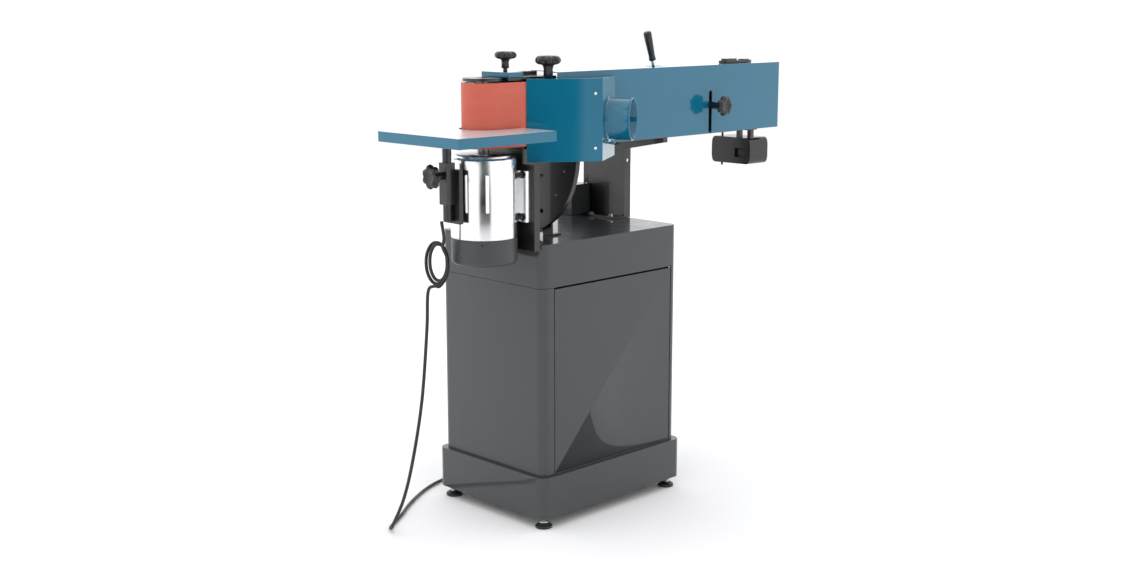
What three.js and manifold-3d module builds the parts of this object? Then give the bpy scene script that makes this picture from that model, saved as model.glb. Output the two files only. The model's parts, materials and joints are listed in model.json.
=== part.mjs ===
// Edge belt sander on a cabinet stand, in millimetres, +Z up.
// +X runs along the beam, away from the drive drum. +Y points to the operator.
// Pieces are dimensioned from the floor under the middle of the cabinet. The finished machine is
// then moved by SHIFT_X, so that its own origin is on the floor under the middle of its whole box.
import * as THREE from "three";
import { mergeVertices } from "three/addons/utils/BufferGeometryUtils.js";
import Module from "manifold-3d";

const wasm = await Module();
wasm.setup();

// ---------- driving dimensions ----------
const SHIFT_X = -52.2; // from the cabinet's middle to the middle of the whole machine
const GAP = 0.3; // clearance between neighbouring pieces
const OVER = 1; // how far a cutting solid reaches past the faces it opens
const SHEET = 3; // cabinet sheet thickness
const SKIN = 2; // cover and hood sheet thickness
const FINE = 32; // facets of a large round
const MEDIUM = 20; // facets of a middling round
const COARSE = 16; // facets of a small round

const CABINET = { width: 483, depth: 373, corner: 22 };
const PLINTH = { width: 507, depth: 397, corner: 24, bottom: 29, top: 133 };
const CAP = { bottom: 600, top: 707 };
const DOOR = { left: -202.5, hinge: 213, bottom: 137.6, top: 597, nose: 4, pin: 2.5 };
const FOOT = { x: 225, y: 170, pad: 21, stud: 6 };
const JUNCTION = { left: 150, right: 219, near: 111, far: 165, top: 790, lip: 1.5, lid: 3 };

const TILT = { y: 0, z: 913.4, bolt: 6 };
const BELT = { y: -96.5, bottom: 939.5, top: 1089.5, radius: 50, thickness: 1.5 };
const DRIVE_X = -344.6;
const IDLER_X = 598.4;
const DRUM_RADIUS = BELT.radius - BELT.thickness - GAP;
const COVER = { left: -181.6, right: 665.4, near: -176.5, bottom: 933, top: 1110 };
const BEAM = { left: -280, right: 440, near: -136, far: -58.6, bottom: 937, top: 1085 };

const PLATEN_RIGHT = 530;

const MOTOR = { radius: 78, cowlBottom: 668, cowlTop: 731, shellTop: 918, discTop: 924 };
const SHAFT = { radius: 14, tail: 10, bottom: 700, top: 1098 };
const PLATE = { left: -262.6, right: -244.6, near: -181.5, far: -11.5, bottom: 693, top: 931.7 };
const PLATE_NOTCH_Y = -142; // the plate stops here above the hood's floor
const MOTOR_FOOT = { thick: 16, bottom: 764, top: 885 };
const QUADRANT = { left: -146.5, thickness: 13, radius: 204.5, holeRadius: 166, hole: 5.5 };
const TRUNNION = { left: 200, right: 216 };
const EAR = { top: 18.3, near: -170, far: -60, round: 22 }; // ears under the beam, from the tilt axis
const TABLE_Z = { bottom: 960, top: 984 };
const END_TABLE = { left: -561, right: -270, near: -264.5, far: 18.5, notch: 56 };
const WORK_TABLE = { left: -181, right: 588, near: -43, far: 157 };
const TABLE_SHEET = { plate: 8, rim: 5 }; // top plate and turned-down rim of both tables
const POST = { x: -455.2, radius: 10.5, bottom: 777, sleeve: 13, sleeveBottom: 817, sleeveTop: 913 };
const POST_FLANGE = 20; // radius of the disc that carries the end table
const UPRIGHT = { near: -14.5, far: 137.5, wall: 4, top: 924, left: -106, right: 221.4, depth: 24 };
const ARM = { left: -303.6, near: -139.5, far: -45.7, bottom: 1093, top: 1100 };
const GUARD_TOP = 1112;
const HOOD = { bottom: 902, top: 1096, port: 50, portLength: 60, portZ: 997 };
const HOOD_START = new THREE.Vector2(-255.6, -148.5);
const HOOD_FOLD = new THREE.Vector2(-139, -236.5);
const HOOD_CORNER = new THREE.Vector2(-109.6, -254.5);
const HOOD_END = new THREE.Vector2(10.4, -179.2);
const SWITCH = { left: 571, right: 649, near: -156.5, far: -21.5, bottom: 833, top: 905 };
const BUTTON = { startX: 594, stopX: 626, z: 869, radius: 11, cap: 9, pocket: 14 };
const COVER_KNOB = {
  x: 376, z: 1006, radius: 27, lobes: 7, head: 18, stem: 37, stemRadius: 9, screw: 26,
  screwRadius: 5,
};
const HOOD_KNOB = {
  x: -201.8, y: -164.5, radius: 31, lobes: 7, head: 22, stem: 30, stemRadius: 11.5, screw: 9,
  screwRadius: 4,
};
const GUARD_KNOB = {
  x: -292, y: -114.5, z: 1121, radius: 27, lobes: 5, head: 18, stem: 20, stemRadius: 9, screw: 24,
  screwRadius: 5,
};
const LOCK_KNOB = {
  z: 882, radius: 29, lobes: 7, head: 20, stem: 22, stemRadius: 9, screw: 2, screwRadius: 4,
};
const LEVER = { x: 213, y: -126.5, z: 1097, lean: THREE.MathUtils.degToRad(17), length: 105 };
const CORD_RADIUS = 4;
const PLUG = {
  y: 275.5, z: 19, left: -116, right: -86, half: 19, bottom: 2, top: 36, pin: 2.4, pinSpread: 9,
  pinLength: 18,
};

const colours = {
  blue: { color: 0x00627f, roughness: 0.3, metalness: 0.1 },
  greyTop: { color: 0xc9cdd0, roughness: 0.35, metalness: 0.3 },
  cabinet: { color: 0x3c4142, roughness: 0.3, metalness: 0.1 },
  black: { color: 0x151617, roughness: 0.35, metalness: 0.1 },
  knob: { color: 0x111213, roughness: 0.25, metalness: 0 },
  polished: { color: 0xd8dadc, roughness: 0.15, metalness: 1 },
  steel: { color: 0x9a9da0, roughness: 0.35, metalness: 1 },
  copper: { color: 0x8a4a2a, roughness: 0.5, metalness: 0.6 },
  cowl: { color: 0x4b5052, roughness: 0.4, metalness: 0 },
  belt: { color: 0xe47061, roughness: 0.85, metalness: 0 },
  graphite: { color: 0x2e2f31, roughness: 0.7, metalness: 0.2 },
  rubber: { color: 0x1a1a1a, roughness: 0.6, metalness: 0 },
  green: { color: 0x1f8a3a, roughness: 0.4, metalness: 0 },
  red: { color: 0xb3201c, roughness: 0.4, metalness: 0 },
};

// ---------- solids ----------
// Six times the volume a closed triangle list encloses: negative if its faces point inwards.
function signedVolume(position, index) {
  const [a, b, c] = [new THREE.Vector3(), new THREE.Vector3(), new THREE.Vector3()];
  let sum = 0;
  for (let i = 0; i < index.length; i += 3) {
    a.fromBufferAttribute(position, index[i]);
    b.fromBufferAttribute(position, index[i + 1]);
    c.fromBufferAttribute(position, index[i + 2]);
    sum += a.dot(b.cross(c));
  }
  return sum;
}

// A closed three.js geometry as a manifold solid, with collapsed triangles dropped.
function solid(geometry) {
  const bare = geometry.clone();
  bare.deleteAttribute("normal");
  bare.deleteAttribute("uv");
  const merged = mergeVertices(bare, 1e-4);
  const kept = [];
  const index = merged.index.array;
  for (let i = 0; i < index.length; i += 3) {
    const [a, b, c] = [index[i], index[i + 1], index[i + 2]];
    if (a !== b && b !== c && a !== c) kept.push(a, b, c);
  }
  if (signedVolume(merged.attributes.position, kept) < 0) kept.reverse();
  return new wasm.Manifold(
    new wasm.Mesh({
      numProp: 3,
      vertProperties: merged.attributes.position.array,
      triVerts: new Uint32Array(kept),
    }),
  );
}

const join = (first, ...others) => others.reduce((sum, next) => sum.add(next), first);
const cut = (first, ...others) => others.reduce((rest, next) => rest.subtract(next), first);

function box(x0, x1, y0, y1, z0, z1) {
  const geometry = new THREE.BoxGeometry(x1 - x0, y1 - y0, z1 - z0);
  return solid(geometry.translate((x0 + x1) / 2, (y0 + y1) / 2, (z0 + z1) / 2));
}

// A round bar from z0 to z1 about the vertical through (x, y).
function rodZ(radius, z0, z1, x = 0, y = 0, facets = COARSE) {
  const geometry = new THREE.CylinderGeometry(radius, radius, z1 - z0, facets);
  return solid(geometry.rotateX(Math.PI / 2).translate(x, y, (z0 + z1) / 2));
}

function rodX(radius, x0, x1, y = 0, z = 0, facets = COARSE) {
  const geometry = new THREE.CylinderGeometry(radius, radius, x1 - x0, facets);
  return solid(geometry.rotateZ(Math.PI / 2).translate((x0 + x1) / 2, y, z));
}

function rodY(radius, y0, y1, x = 0, z = 0, facets = COARSE) {
  const geometry = new THREE.CylinderGeometry(radius, radius, y1 - y0, facets);
  return solid(geometry.translate(x, (y0 + y1) / 2, z));
}

// An outline in the XY plane, raised from z0 to z1.
function prismZ(shape, z0, z1, curveSegments = 4) {
  const options = { depth: z1 - z0, bevelEnabled: false, curveSegments };
  return solid(new THREE.ExtrudeGeometry(shape, options).translate(0, 0, z0));
}

// An outline whose x and y mean Y and Z, run from x0 to x1.
function prismX(shape, x0, x1, curveSegments = 4) {
  const options = { depth: x1 - x0, bevelEnabled: false, curveSegments };
  const turn = new THREE.Matrix4().makeBasis(
    new THREE.Vector3(0, 1, 0),
    new THREE.Vector3(0, 0, 1),
    new THREE.Vector3(1, 0, 0),
  );
  return solid(new THREE.ExtrudeGeometry(shape, options).applyMatrix4(turn).translate(x0, 0, 0));
}

// A profile of [radius, z] points turned about the vertical axis.
function turned(profile, facets = FINE) {
  const points = profile.map(([radius, z]) => new THREE.Vector2(radius, z));
  return solid(new THREE.LatheGeometry(points, facets).rotateX(Math.PI / 2));
}

// A ring of rectangular section.
function ring(inner, outer, z0, z1, facets = FINE) {
  return turned([[inner, z0], [outer, z0], [outer, z1], [inner, z1], [inner, z0]], facets);
}

function roundedRect(width, depth, radius) {
  const [w, d, r] = [width / 2, depth / 2, radius];
  const shape = new THREE.Shape();
  shape.moveTo(-w + r, -d);
  shape.lineTo(w - r, -d);
  shape.absarc(w - r, -d + r, r, -Math.PI / 2, 0);
  shape.lineTo(w, d - r);
  shape.absarc(w - r, d - r, r, 0, Math.PI / 2);
  shape.lineTo(-w + r, d);
  shape.absarc(-w + r, d - r, r, Math.PI / 2, Math.PI);
  shape.lineTo(-w, -d + r);
  shape.absarc(-w + r, -d + r, r, Math.PI, 1.5 * Math.PI);
  return shape;
}

function polygon(points) {
  return new THREE.Shape(points.map(([x, y]) => new THREE.Vector2(x, y)));
}

// A round bar along a curve.
function cable(curve, radius, steps, facets = 8) {
  const section = new THREE.Shape().absarc(0, 0, radius, 0, 2 * Math.PI);
  const options = { steps, bevelEnabled: false, extrudePath: curve, curveSegments: facets };
  return solid(new THREE.ExtrudeGeometry(section, options));
}

// A hand knob about +Z: lobed head on a round stem that starts at z = 0, with its screw below.
function handKnob({ radius, lobes, head, stem, stemRadius, screw, screwRadius }) {
  const points = [];
  const steps = lobes * 4;
  for (let i = 0; i < steps; i += 1) {
    const angle = (2 * Math.PI * i) / steps;
    const reach = radius * (0.92 + 0.08 * Math.cos(lobes * angle));
    points.push([reach * Math.cos(angle), reach * Math.sin(angle)]);
  }
  return join(
    prismZ(polygon(points), stem, stem + head),
    rodZ(stemRadius, 0, stem + head / 2),
    rodZ(screwRadius, -screw, stem / 2),
  );
}

// ---------- scene graph ----------
const sander = new THREE.Group();
sander.position.x = SHIFT_X;

function group(parent, x = 0, y = 0, z = 0) {
  const child = new THREE.Group();
  child.position.set(x, y, z);
  parent.add(child);
  return child;
}

function part(parent, name, body, colour) {
  const { vertProperties, triVerts } = body.getMesh();
  const geometry = new THREE.BufferGeometry();
  geometry.setAttribute("position", new THREE.BufferAttribute(vertProperties, 3));
  geometry.setIndex(new THREE.BufferAttribute(triVerts, 1));
  geometry.computeVertexNormals();
  const mesh = new THREE.Mesh(geometry, new THREE.MeshStandardMaterial(colours[colour]));
  mesh.name = name;
  parent.add(mesh);
  return mesh;
}

const stand = group(sander);
const head = group(sander);
const motor = group(head, DRIVE_X, BELT.y, 0);
const idler = group(head, IDLER_X, BELT.y, 0);

// ---------- cabinet stand ----------
function plinth() {
  const inset = 2 * SHEET;
  const outer = roundedRect(PLINTH.width, PLINTH.depth, PLINTH.corner);
  const inner = roundedRect(PLINTH.width - inset, PLINTH.depth - inset, PLINTH.corner - SHEET);
  const walls = cut(
    prismZ(outer, PLINTH.bottom, PLINTH.top, 3),
    prismZ(inner, PLINTH.bottom - OVER, PLINTH.top - SHEET, 3),
  );
  const padReach = 34;
  const padZ = [33, 38];
  let body = walls;
  for (const sx of [-1, 1]) {
    for (const sy of [-1, 1]) {
      const [x, y] = [sx * FOOT.x, sy * FOOT.y];
      const pad = box(x - padReach, x + padReach, y - padReach, y + padReach, ...padZ);
      const fitted = pad.intersect(prismZ(outer, ...padZ, 3));
      body = body.add(cut(fitted, rodZ(FOOT.stud + GAP, padZ[0] - OVER, padZ[1] + OVER, x, y)));
    }
  }
  return body;
}

function levellingFoot() {
  const { pad, stud } = FOOT;
  const nut = 11;
  return turned(
    [[0, 0], [pad - 2, 0], [pad, 2], [pad, 7], [13, 13], [stud, 15], [stud, 24],
      [nut, 24], [nut, 32], [stud, 32], [stud, 60], [0, 60]],
    COARSE,
  );
}

function cabinetShell() {
  const [bottom, top] = [PLINTH.top + GAP, CAP.bottom - GAP];
  const { width, depth, corner } = CABINET;
  const inner = roundedRect(width - 2 * SHEET, depth - 2 * SHEET, corner - SHEET);
  const near = -depth / 2;
  const sideGap = 0.6;
  return cut(
    prismZ(roundedRect(width, depth, corner), bottom, top, 3),
    prismZ(inner, bottom + SHEET, top + OVER, 3),
    box(
      DOOR.left - sideGap, DOOR.hinge + DOOR.nose + sideGap,
      near - OVER, near + SHEET + OVER, DOOR.bottom - sideGap, top + OVER,
    ),
  );
}

function cabinetTop() {
  const { width, depth, corner } = CABINET;
  const inner = roundedRect(width - 2 * SHEET, depth - 2 * SHEET, corner - SHEET);
  return cut(
    prismZ(roundedRect(width, depth, corner), CAP.bottom, CAP.top, 3),
    prismZ(inner, CAP.bottom - OVER, CAP.top - SHEET, 3),
  );
}

function cabinetDoor() {
  const near = -CABINET.depth / 2;
  const { left, hinge, bottom, top, nose } = DOOR;
  const lip = near + 21;
  const rightLip = hinge - 6;
  const body = join(
    box(left, hinge, near, near + SKIN, bottom, top),
    rodZ(nose, bottom, top, hinge, near + nose, COARSE),
    box(left, left + SKIN, near, lip, bottom, top),
    box(rightLip - SKIN, rightLip, near, lip, bottom, top),
    box(left, rightLip, near, lip, top - SKIN, top),
    box(left, rightLip, near, lip, bottom, bottom + SKIN),
  );
  return cut(body, rodZ(DOOR.pin + GAP, bottom - OVER, top + OVER, hinge, near + nose));
}

// A channel post with its open side outwards: side is -1 on the left and 1 on the right.
function upright(side) {
  const { near, far, wall, top, depth } = UPRIGHT;
  const web = side < 0 ? UPRIGHT.left : UPRIGHT.right;
  const base = CAP.top + GAP;
  const span = (a, b) => (side < 0 ? [web - b, web - a] : [web + a, web + b]);
  const channel = cut(
    box(...span(0, depth), near, far, base, top),
    box(...span(wall, depth + OVER), near + wall, far - wall, base - OVER, top + OVER),
  );
  const foot = { width: 34, far: 105, thick: 5 };
  const flange = box(...span(-foot.width, wall), near, foot.far, base, base + foot.thick);
  const spare = { radius: 5, heights: [897, 860] };
  const spareX = web + side * (depth / 2 + 2);
  const spareHole = (z) => rodY(spare.radius, near - OVER, near + wall + OVER, spareX, z);
  return cut(
    join(channel, flange),
    rodX(TILT.bolt + GAP, web - wall - OVER, web + wall + OVER, TILT.y, TILT.z),
    ...spare.heights.map(spareHole),
  );
}

function tableRail(side) {
  const { near, top, depth, wall } = UPRIGHT;
  const web = side < 0 ? UPRIGHT.left : UPRIGHT.right;
  const [x0, x1] = side < 0 ? [web - depth, web] : [web, web + depth];
  const [z0, z1] = [top + GAP, TABLE_Z.bottom - GAP];
  const far = 150;
  return cut(
    box(x0, x1, near, far, z0, z1),
    box(x0 + wall, x1 - wall, near - OVER, far + OVER, z0 - OVER, z1 - wall),
  );
}

function workTable() {
  const { left, right, near, far } = WORK_TABLE;
  const { plate, rim } = TABLE_SHEET;
  return cut(
    box(left, right, near, far, TABLE_Z.bottom, TABLE_Z.top),
    box(
      left + rim, right - rim, near + rim, far - rim,
      TABLE_Z.bottom - OVER, TABLE_Z.top - plate,
    ),
  );
}

function junctionBox() {
  const { left, right, near, far, top, lip, lid } = JUNCTION;
  const body = box(left, right, near, far, CAP.top + GAP, top - lid);
  return join(body, box(left - lip, right + lip, near - lip, far + lip, top - lid - OVER, top));
}

// A bolt along X: its head ends at headX, and its nut sits against the face at seatX.
function pivotBolt(headX, seatX) {
  const [headRadius, headLength, nutRadius, nutLength] = [11, 8, 9, 7];
  return join(
    rodX(headRadius, headX - headLength, headX, 0, 0, 6),
    rodX(TILT.bolt, headX - OVER, seatX + nutLength + OVER),
    rodX(nutRadius, seatX + GAP, seatX + nutLength, 0, 0, 6),
  );
}

// ---------- index pin ----------
const pinAngle = THREE.MathUtils.degToRad(239.7);
const PIN = {
  y: TILT.y + QUADRANT.holeRadius * Math.cos(pinAngle),
  z: TILT.z + QUADRANT.holeRadius * Math.sin(pinAngle),
  radius: 5,
  bracketLeft: -128,
  nose: 3,
  gripStart: 29,
  grip: 12,
  gripLength: 13,
};
const BRACKET = { half: 16, thick: 5, footLength: 33, boss: 11, bossLength: 15 };

function indexBracket() {
  const left = PIN.bracketLeft;
  const base = CAP.top + GAP;
  const { half, thick, footLength, boss, bossLength } = BRACKET;
  const [near, far] = [PIN.y - half, PIN.y + half];
  const body = join(
    box(left, left + thick, near, far, base, PIN.z + half - 1),
    box(left, left + footLength, near, far, base, base + thick),
    rodX(boss, left, left + bossLength, PIN.y, PIN.z),
  );
  const bore = rodX(PIN.radius + GAP, left - OVER, left + bossLength + OVER, PIN.y, PIN.z);
  return cut(body, bore);
}

// A round pin with a grip disc, drawn from the bracket's left face.
function indexPin() {
  const { radius, nose, gripStart, grip, gripLength } = PIN;
  return join(
    rodX(radius, -nose, gripStart + OVER),
    rodX(grip, gripStart, gripStart + gripLength),
  );
}

function buildStand() {
  part(stand, "plinth", plinth(), "cabinet");
  part(stand, "cabinet_shell", cabinetShell(), "cabinet");
  part(stand, "cabinet_top", cabinetTop(), "cabinet");
  part(stand, "cabinet_door", cabinetDoor(), "cabinet");
  const pinY = -CABINET.depth / 2 + DOOR.nose;
  const pin = rodZ(DOOR.pin, DOOR.bottom - 0.4, CAP.bottom - 2 * GAP, DOOR.hinge, pinY);
  part(stand, "door_hinge_pin", pin, "steel");
  for (const [across, sx] of [["left", -1], ["right", 1]]) {
    for (const [along, sy] of [["back", -1], ["front", 1]]) {
      const corner = group(stand, sx * FOOT.x, sy * FOOT.y, 0);
      part(corner, `foot_${across}_${along}`, levellingFoot(), "rubber");
    }
  }
  part(stand, "left_upright", upright(-1), "black");
  part(stand, "right_upright", upright(1), "black");
  part(stand, "left_table_rail", tableRail(-1), "black");
  part(stand, "right_table_rail", tableRail(1), "black");
  part(stand, "work_table", workTable(), "greyTop");
  part(stand, "junction_box", junctionBox(), "black");
  const pivot = group(stand, 0, TILT.y, TILT.z);
  const leftBolt = pivotBolt(QUADRANT.left - GAP, UPRIGHT.left);
  part(pivot, "left_pivot_bolt", leftBolt, "steel");
  const webFace = UPRIGHT.right + UPRIGHT.wall;
  part(pivot, "right_pivot_bolt", pivotBolt(TRUNNION.left - GAP, webFace), "steel");
  part(stand, "index_bracket", indexBracket(), "black");
  part(group(stand, PIN.bracketLeft, PIN.y, PIN.z), "index_pin", indexPin(), "steel");
}

// ---------- power cord ----------
// The coil hangs in loose turns beside the motor, each turn wider, lower and further back.
function cordCoil() {
  const centre = new THREE.Vector3(-446, -50, 674);
  const across = new THREE.Vector3(0.711, -0.703, 0);
  const back = new THREE.Vector3(0.703, 0.711, 0);
  const at = (u, v, w) => {
    const level = centre.clone().addScaledVector(across, u).addScaledVector(back, v);
    return level.setZ(centre.z + w);
  };
  const points = [at(10, -22, 101), at(15, -20, 62)];
  const [turns, perTurn] = [2, 8];
  for (let i = 0; i <= turns * perTurn + 3; i += 1) {
    const angle = 0.35 * Math.PI - (2 * Math.PI * i) / perTurn;
    const turn = i / perTurn;
    const [halfWidth, halfHeight] = [17 + 5 * turn, 40 + 6 * turn];
    const [side, drop] = [4 - 5 * turn, 4 - 4 * turn];
    const depth = -16 + 11 * turn;
    points.push(at(side + halfWidth * Math.cos(angle), depth, drop + halfHeight * Math.sin(angle)));
  }
  points.push(at(-13, 14, -58));
  return cable(new THREE.CatmullRomCurve3(points), CORD_RADIUS, 60, 3);
}

// The strand falls to the floor, lies in a bend and runs behind the plinth to its plug.
function powerCord() {
  const points = [
    [-452, -16, 600], [-456, -14, 510], [-475, -14, 342], [-495, 0, 195], [-510, 20, 95],
    [-521, 52, 22], [-500, 85, 6], [-430, 134, 5.5], [-357, 188, 5.5], [-270, 240, 5.5],
    [-193, 270, 5.5], [-130, PLUG.y, 5.5],
  ].map((p) => new THREE.Vector3(...p));
  const strand = cable(new THREE.CatmullRomCurve3(points), CORD_RADIUS, 34, 3);
  const { y, z, left, right, half, bottom, top, pin, pinSpread, pinLength } = PLUG;
  const plug = join(
    rodX(9, left - 20, left + 4, y, 10, COARSE),
    box(left, right, y - half, y + half, bottom, top),
    rodX(pin, right - OVER, right + pinLength, y - pinSpread, z, 12),
    rodX(pin, right - OVER, right + pinLength, y + pinSpread, z, 12),
  );
  return join(strand, plug);
}

// ---------- tilting head ----------
const GUIDE_Z = (BELT.bottom + BELT.top) / 2; // height of the idler's guide rod
const GUIDE_RADIUS = 8;
const SPRING_STOP = { left: 322, right: 328 };

// A rectangular tube on a belly plate, with the spring's stop and the post that the cover screws to.
function beamFrame() {
  const { left, right, near, far, bottom, top } = BEAM;
  const wall = 6;
  const floor = 14;
  const tube = cut(
    box(left, right, near, far, bottom, top),
    box(left - OVER, right + OVER, near + wall, far - wall, bottom + floor, top - wall),
  );
  const sheet = { right: 500, bottom: 932, top: bottom + 0.5 };
  const belly = join(
    box(PLATE.left, sheet.right, PLATE_NOTCH_Y, far, sheet.bottom, sheet.top),
    box(COVER.left, sheet.right, COVER.near + 2.5, far, sheet.bottom, sheet.top),
  );
  const { left: stopLeft, right: stopRight } = SPRING_STOP;
  const stop = box(stopLeft, stopRight, near + 1, far - 1, bottom + 1, top - 1);
  const post = { x: COVER_KNOB.x, half: 10, near: -170, far: -152, top: 1018 };
  const coverPost = box(post.x - post.half, post.x + post.half, post.near, post.far, bottom, post.top);
  return cut(
    join(tube, belly, stop, coverPost),
    rodX(GUIDE_RADIUS + 0.5, stopLeft - 2, stopRight + 2, BELT.y, GUIDE_Z),
    rodY(COVER_KNOB.screwRadius + GAP, post.near - OVER, post.far + OVER, post.x, COVER_KNOB.z),
  );
}

// Moves a solid drawn about the tilt axis to its place.
function atTiltAxis(body) {
  return body.translate([0, TILT.y, TILT.z]);
}

function tiltQuadrant() {
  const { radius, left, thickness, holeRadius, hole } = QUADRANT;
  const right = left + thickness;
  const { top, near, far, round } = EAR;
  const shelf = -15;
  const shape = new THREE.Shape();
  const start = Math.PI + Math.asin(-shelf / radius);
  shape.moveTo(far, top);
  shape.lineTo(near, top);
  shape.lineTo(near, shelf);
  shape.lineTo(-radius * Math.cos(start - Math.PI), shelf);
  shape.absarc(0, 0, radius, start, 1.5 * Math.PI);
  shape.lineTo(round, 0);
  shape.absarc(0, 0, round, 0, Math.PI / 2);
  const body = atTiltAxis(prismX(shape, left, right, 8));
  const holes = [0, 22.5, 45].map((back) => {
    const angle = pinAngle - THREE.MathUtils.degToRad(back);
    const [y, z] = [TILT.y + holeRadius * Math.cos(angle), TILT.z + holeRadius * Math.sin(angle)];
    return rodX(hole, left - OVER, right + OVER, y, z, COARSE);
  });
  const bore = rodX(TILT.bolt + GAP, left - OVER, right + OVER, TILT.y, TILT.z);
  return cut(body, bore, ...holes);
}

function rightTrunnion() {
  const { top, near, far, round } = EAR;
  const shape = new THREE.Shape();
  shape.moveTo(far, top);
  shape.lineTo(near, top);
  shape.lineTo(near, 6);
  shape.lineTo(-round, -round);
  shape.absarc(0, 0, round, 1.5 * Math.PI, 2.5 * Math.PI);
  const { left, right } = TRUNNION;
  const body = atTiltAxis(prismX(shape, left, right, 6));
  return cut(body, rodX(TILT.bolt + GAP, left - OVER, right + OVER, TILT.y, TILT.z));
}

function beltLoop(radius, z0, z1) {
  const shape = new THREE.Shape();
  shape.moveTo(DRIVE_X, BELT.y - radius);
  shape.lineTo(IDLER_X, BELT.y - radius);
  shape.absarc(IDLER_X, BELT.y, radius, -Math.PI / 2, Math.PI / 2);
  shape.lineTo(DRIVE_X, BELT.y + radius);
  shape.absarc(DRIVE_X, BELT.y, radius, Math.PI / 2, 1.5 * Math.PI);
  return prismZ(shape, z0, z1, FINE / 4);
}

function abrasiveBelt() {
  const inner = BELT.radius - BELT.thickness;
  return cut(
    beltLoop(BELT.radius, BELT.bottom, BELT.top),
    beltLoop(inner, BELT.bottom - OVER, BELT.top + OVER),
  );
}

function backCover() {
  const { left, right, near, bottom, top } = COVER;
  const [topFar, wrapFar, wrapLeft] = [-50, -36, 596]; // top flange, and the return round the idler
  const body = join(
    box(left, right, near, near + SKIN, bottom, top),
    box(left, right, near, topFar, top - SKIN, top),
    box(wrapLeft, right, topFar - OVER, wrapFar, top - SKIN, top),
    box(right - SKIN, right, near, wrapFar, bottom, top),
    box(wrapLeft, right, wrapFar - SKIN, wrapFar, bottom, top),
  );
  const slotRadius = 6;
  const slotTop = 1038;
  const slotY = [near - OVER, near + SKIN + OVER];
  const { x } = COVER_KNOB;
  const slot = join(
    box(x - slotRadius, x + slotRadius, ...slotY, bottom - OVER, slotTop),
    rodY(slotRadius, ...slotY, x, slotTop),
  );
  const through = [top - SKIN - OVER, top + OVER];
  const leverSlot = box(LEVER.x - 17, LEVER.x + 37, LEVER.y - 9.5, LEVER.y + 30.5, ...through);
  const armNotch = box(left - OVER, -148, -141, topFar + OVER, ...through);
  return cut(body, slot, leverSlot, armNotch);
}

function motorPlate() {
  const { left, right, near, far, bottom, top } = PLATE;
  const wall = 4;
  return cut(
    box(left, right, near, far, bottom, top),
    box(left + wall, right + OVER, near + wall, far - wall, bottom + wall, top + OVER),
    box(left - OVER, right + OVER, near - OVER, PLATE_NOTCH_Y, 898, top + OVER),
  );
}

// The black plate over the drive drum that steadies the top of the shaft and carries the guard.
function bearingArm() {
  const { left, near, far, bottom, top } = ARM;
  const noseRadius = 47;
  const earTop = HOOD.top - SKIN - GAP;
  const [earLeft, earRight, earNear] = [-216, -190, -174];
  const [screwZ0, screwZ1] = [bottom - 8, top + OVER];
  const body = join(
    box(left, -150, near, far, bottom, top),
    rodZ(noseRadius, bottom, top, DRIVE_X, BELT.y, FINE),
    box(-275, -200, near + 7.5, far - 16.3, BEAM.top + GAP, bottom + OVER),
    box(earLeft, earRight, earNear, near + 0.5, earTop - 3.2, earTop),
    box(earLeft, earRight, near - 0.5, near + 7.5, earTop - 3.2, bottom + OVER),
    box(-228, -151, far - 28.3, far - 14.3, top - OVER, top + 9),
  );
  return cut(
    body,
    rodZ(SHAFT.radius + GAP, bottom - 13, top + 2, DRIVE_X, BELT.y),
    rodZ(HOOD_KNOB.screwRadius + GAP, screwZ0, screwZ1, HOOD_KNOB.x, HOOD_KNOB.y),
    rodZ(GUARD_KNOB.screwRadius + GAP, screwZ0, screwZ1, GUARD_KNOB.x, GUARD_KNOB.y),
  );
}

function guardBlock() {
  const base = ARM.top + GAP;
  const body = box(ARM.left, -256, ARM.near, ARM.far, base, GUARD_TOP);
  const { x, y, screwRadius } = GUARD_KNOB;
  return cut(body, rodZ(screwRadius + GAP, base - OVER, GUARD_TOP + 2, x, y));
}

// A switch housing: a box along Y whose two ends are rounded over.
function switchBox() {
  const { left, right, near, far, bottom, top } = SWITCH;
  const [nose, shoulder] = [13, 24];
  const shape = new THREE.Shape();
  shape.moveTo(near + nose, bottom);
  shape.lineTo(far - nose, bottom);
  shape.quadraticCurveTo(far, bottom, far, bottom + shoulder);
  shape.lineTo(far, top - shoulder);
  shape.quadraticCurveTo(far, top, far - nose, top);
  shape.lineTo(near + nose, top);
  shape.quadraticCurveTo(near, top, near, top - shoulder);
  shape.lineTo(near, bottom + shoulder);
  shape.quadraticCurveTo(near, bottom, near + nose, bottom);
  const hangerTop = COVER.bottom - 1.5;
  const strap = (y0, y1) => box(left + 2, left + 16, y0, y1, top - OVER, hangerTop);
  const pinAt = [left + 5, -55, 12];
  const body = join(
    prismX(shape, left, right, 4),
    strap(-118, -106),
    strap(-156, -144),
    box(left - 10, left + 30, -156, -50, hangerTop - 4, hangerTop),
    rodZ(3, top - OVER, hangerTop, ...pinAt),
    rodZ(3, bottom - 8, bottom + OVER, ...pinAt),
  );
  const { startX, stopX, z, radius, pocket } = BUTTON;
  const pocketFor = (x) => rodY(radius + GAP, far - pocket, far + OVER, x, z);
  const window = box(left - OVER, left + 10, near + 17.5, near + 53.5, bottom + 18, bottom + 43);
  return cut(body, window, pocketFor(startX), pocketFor(stopX));
}

function pushButton() {
  const { radius, cap } = BUTTON;
  return join(rodY(radius, -8, 1), rodY(cap, 0, 3));
}

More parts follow.
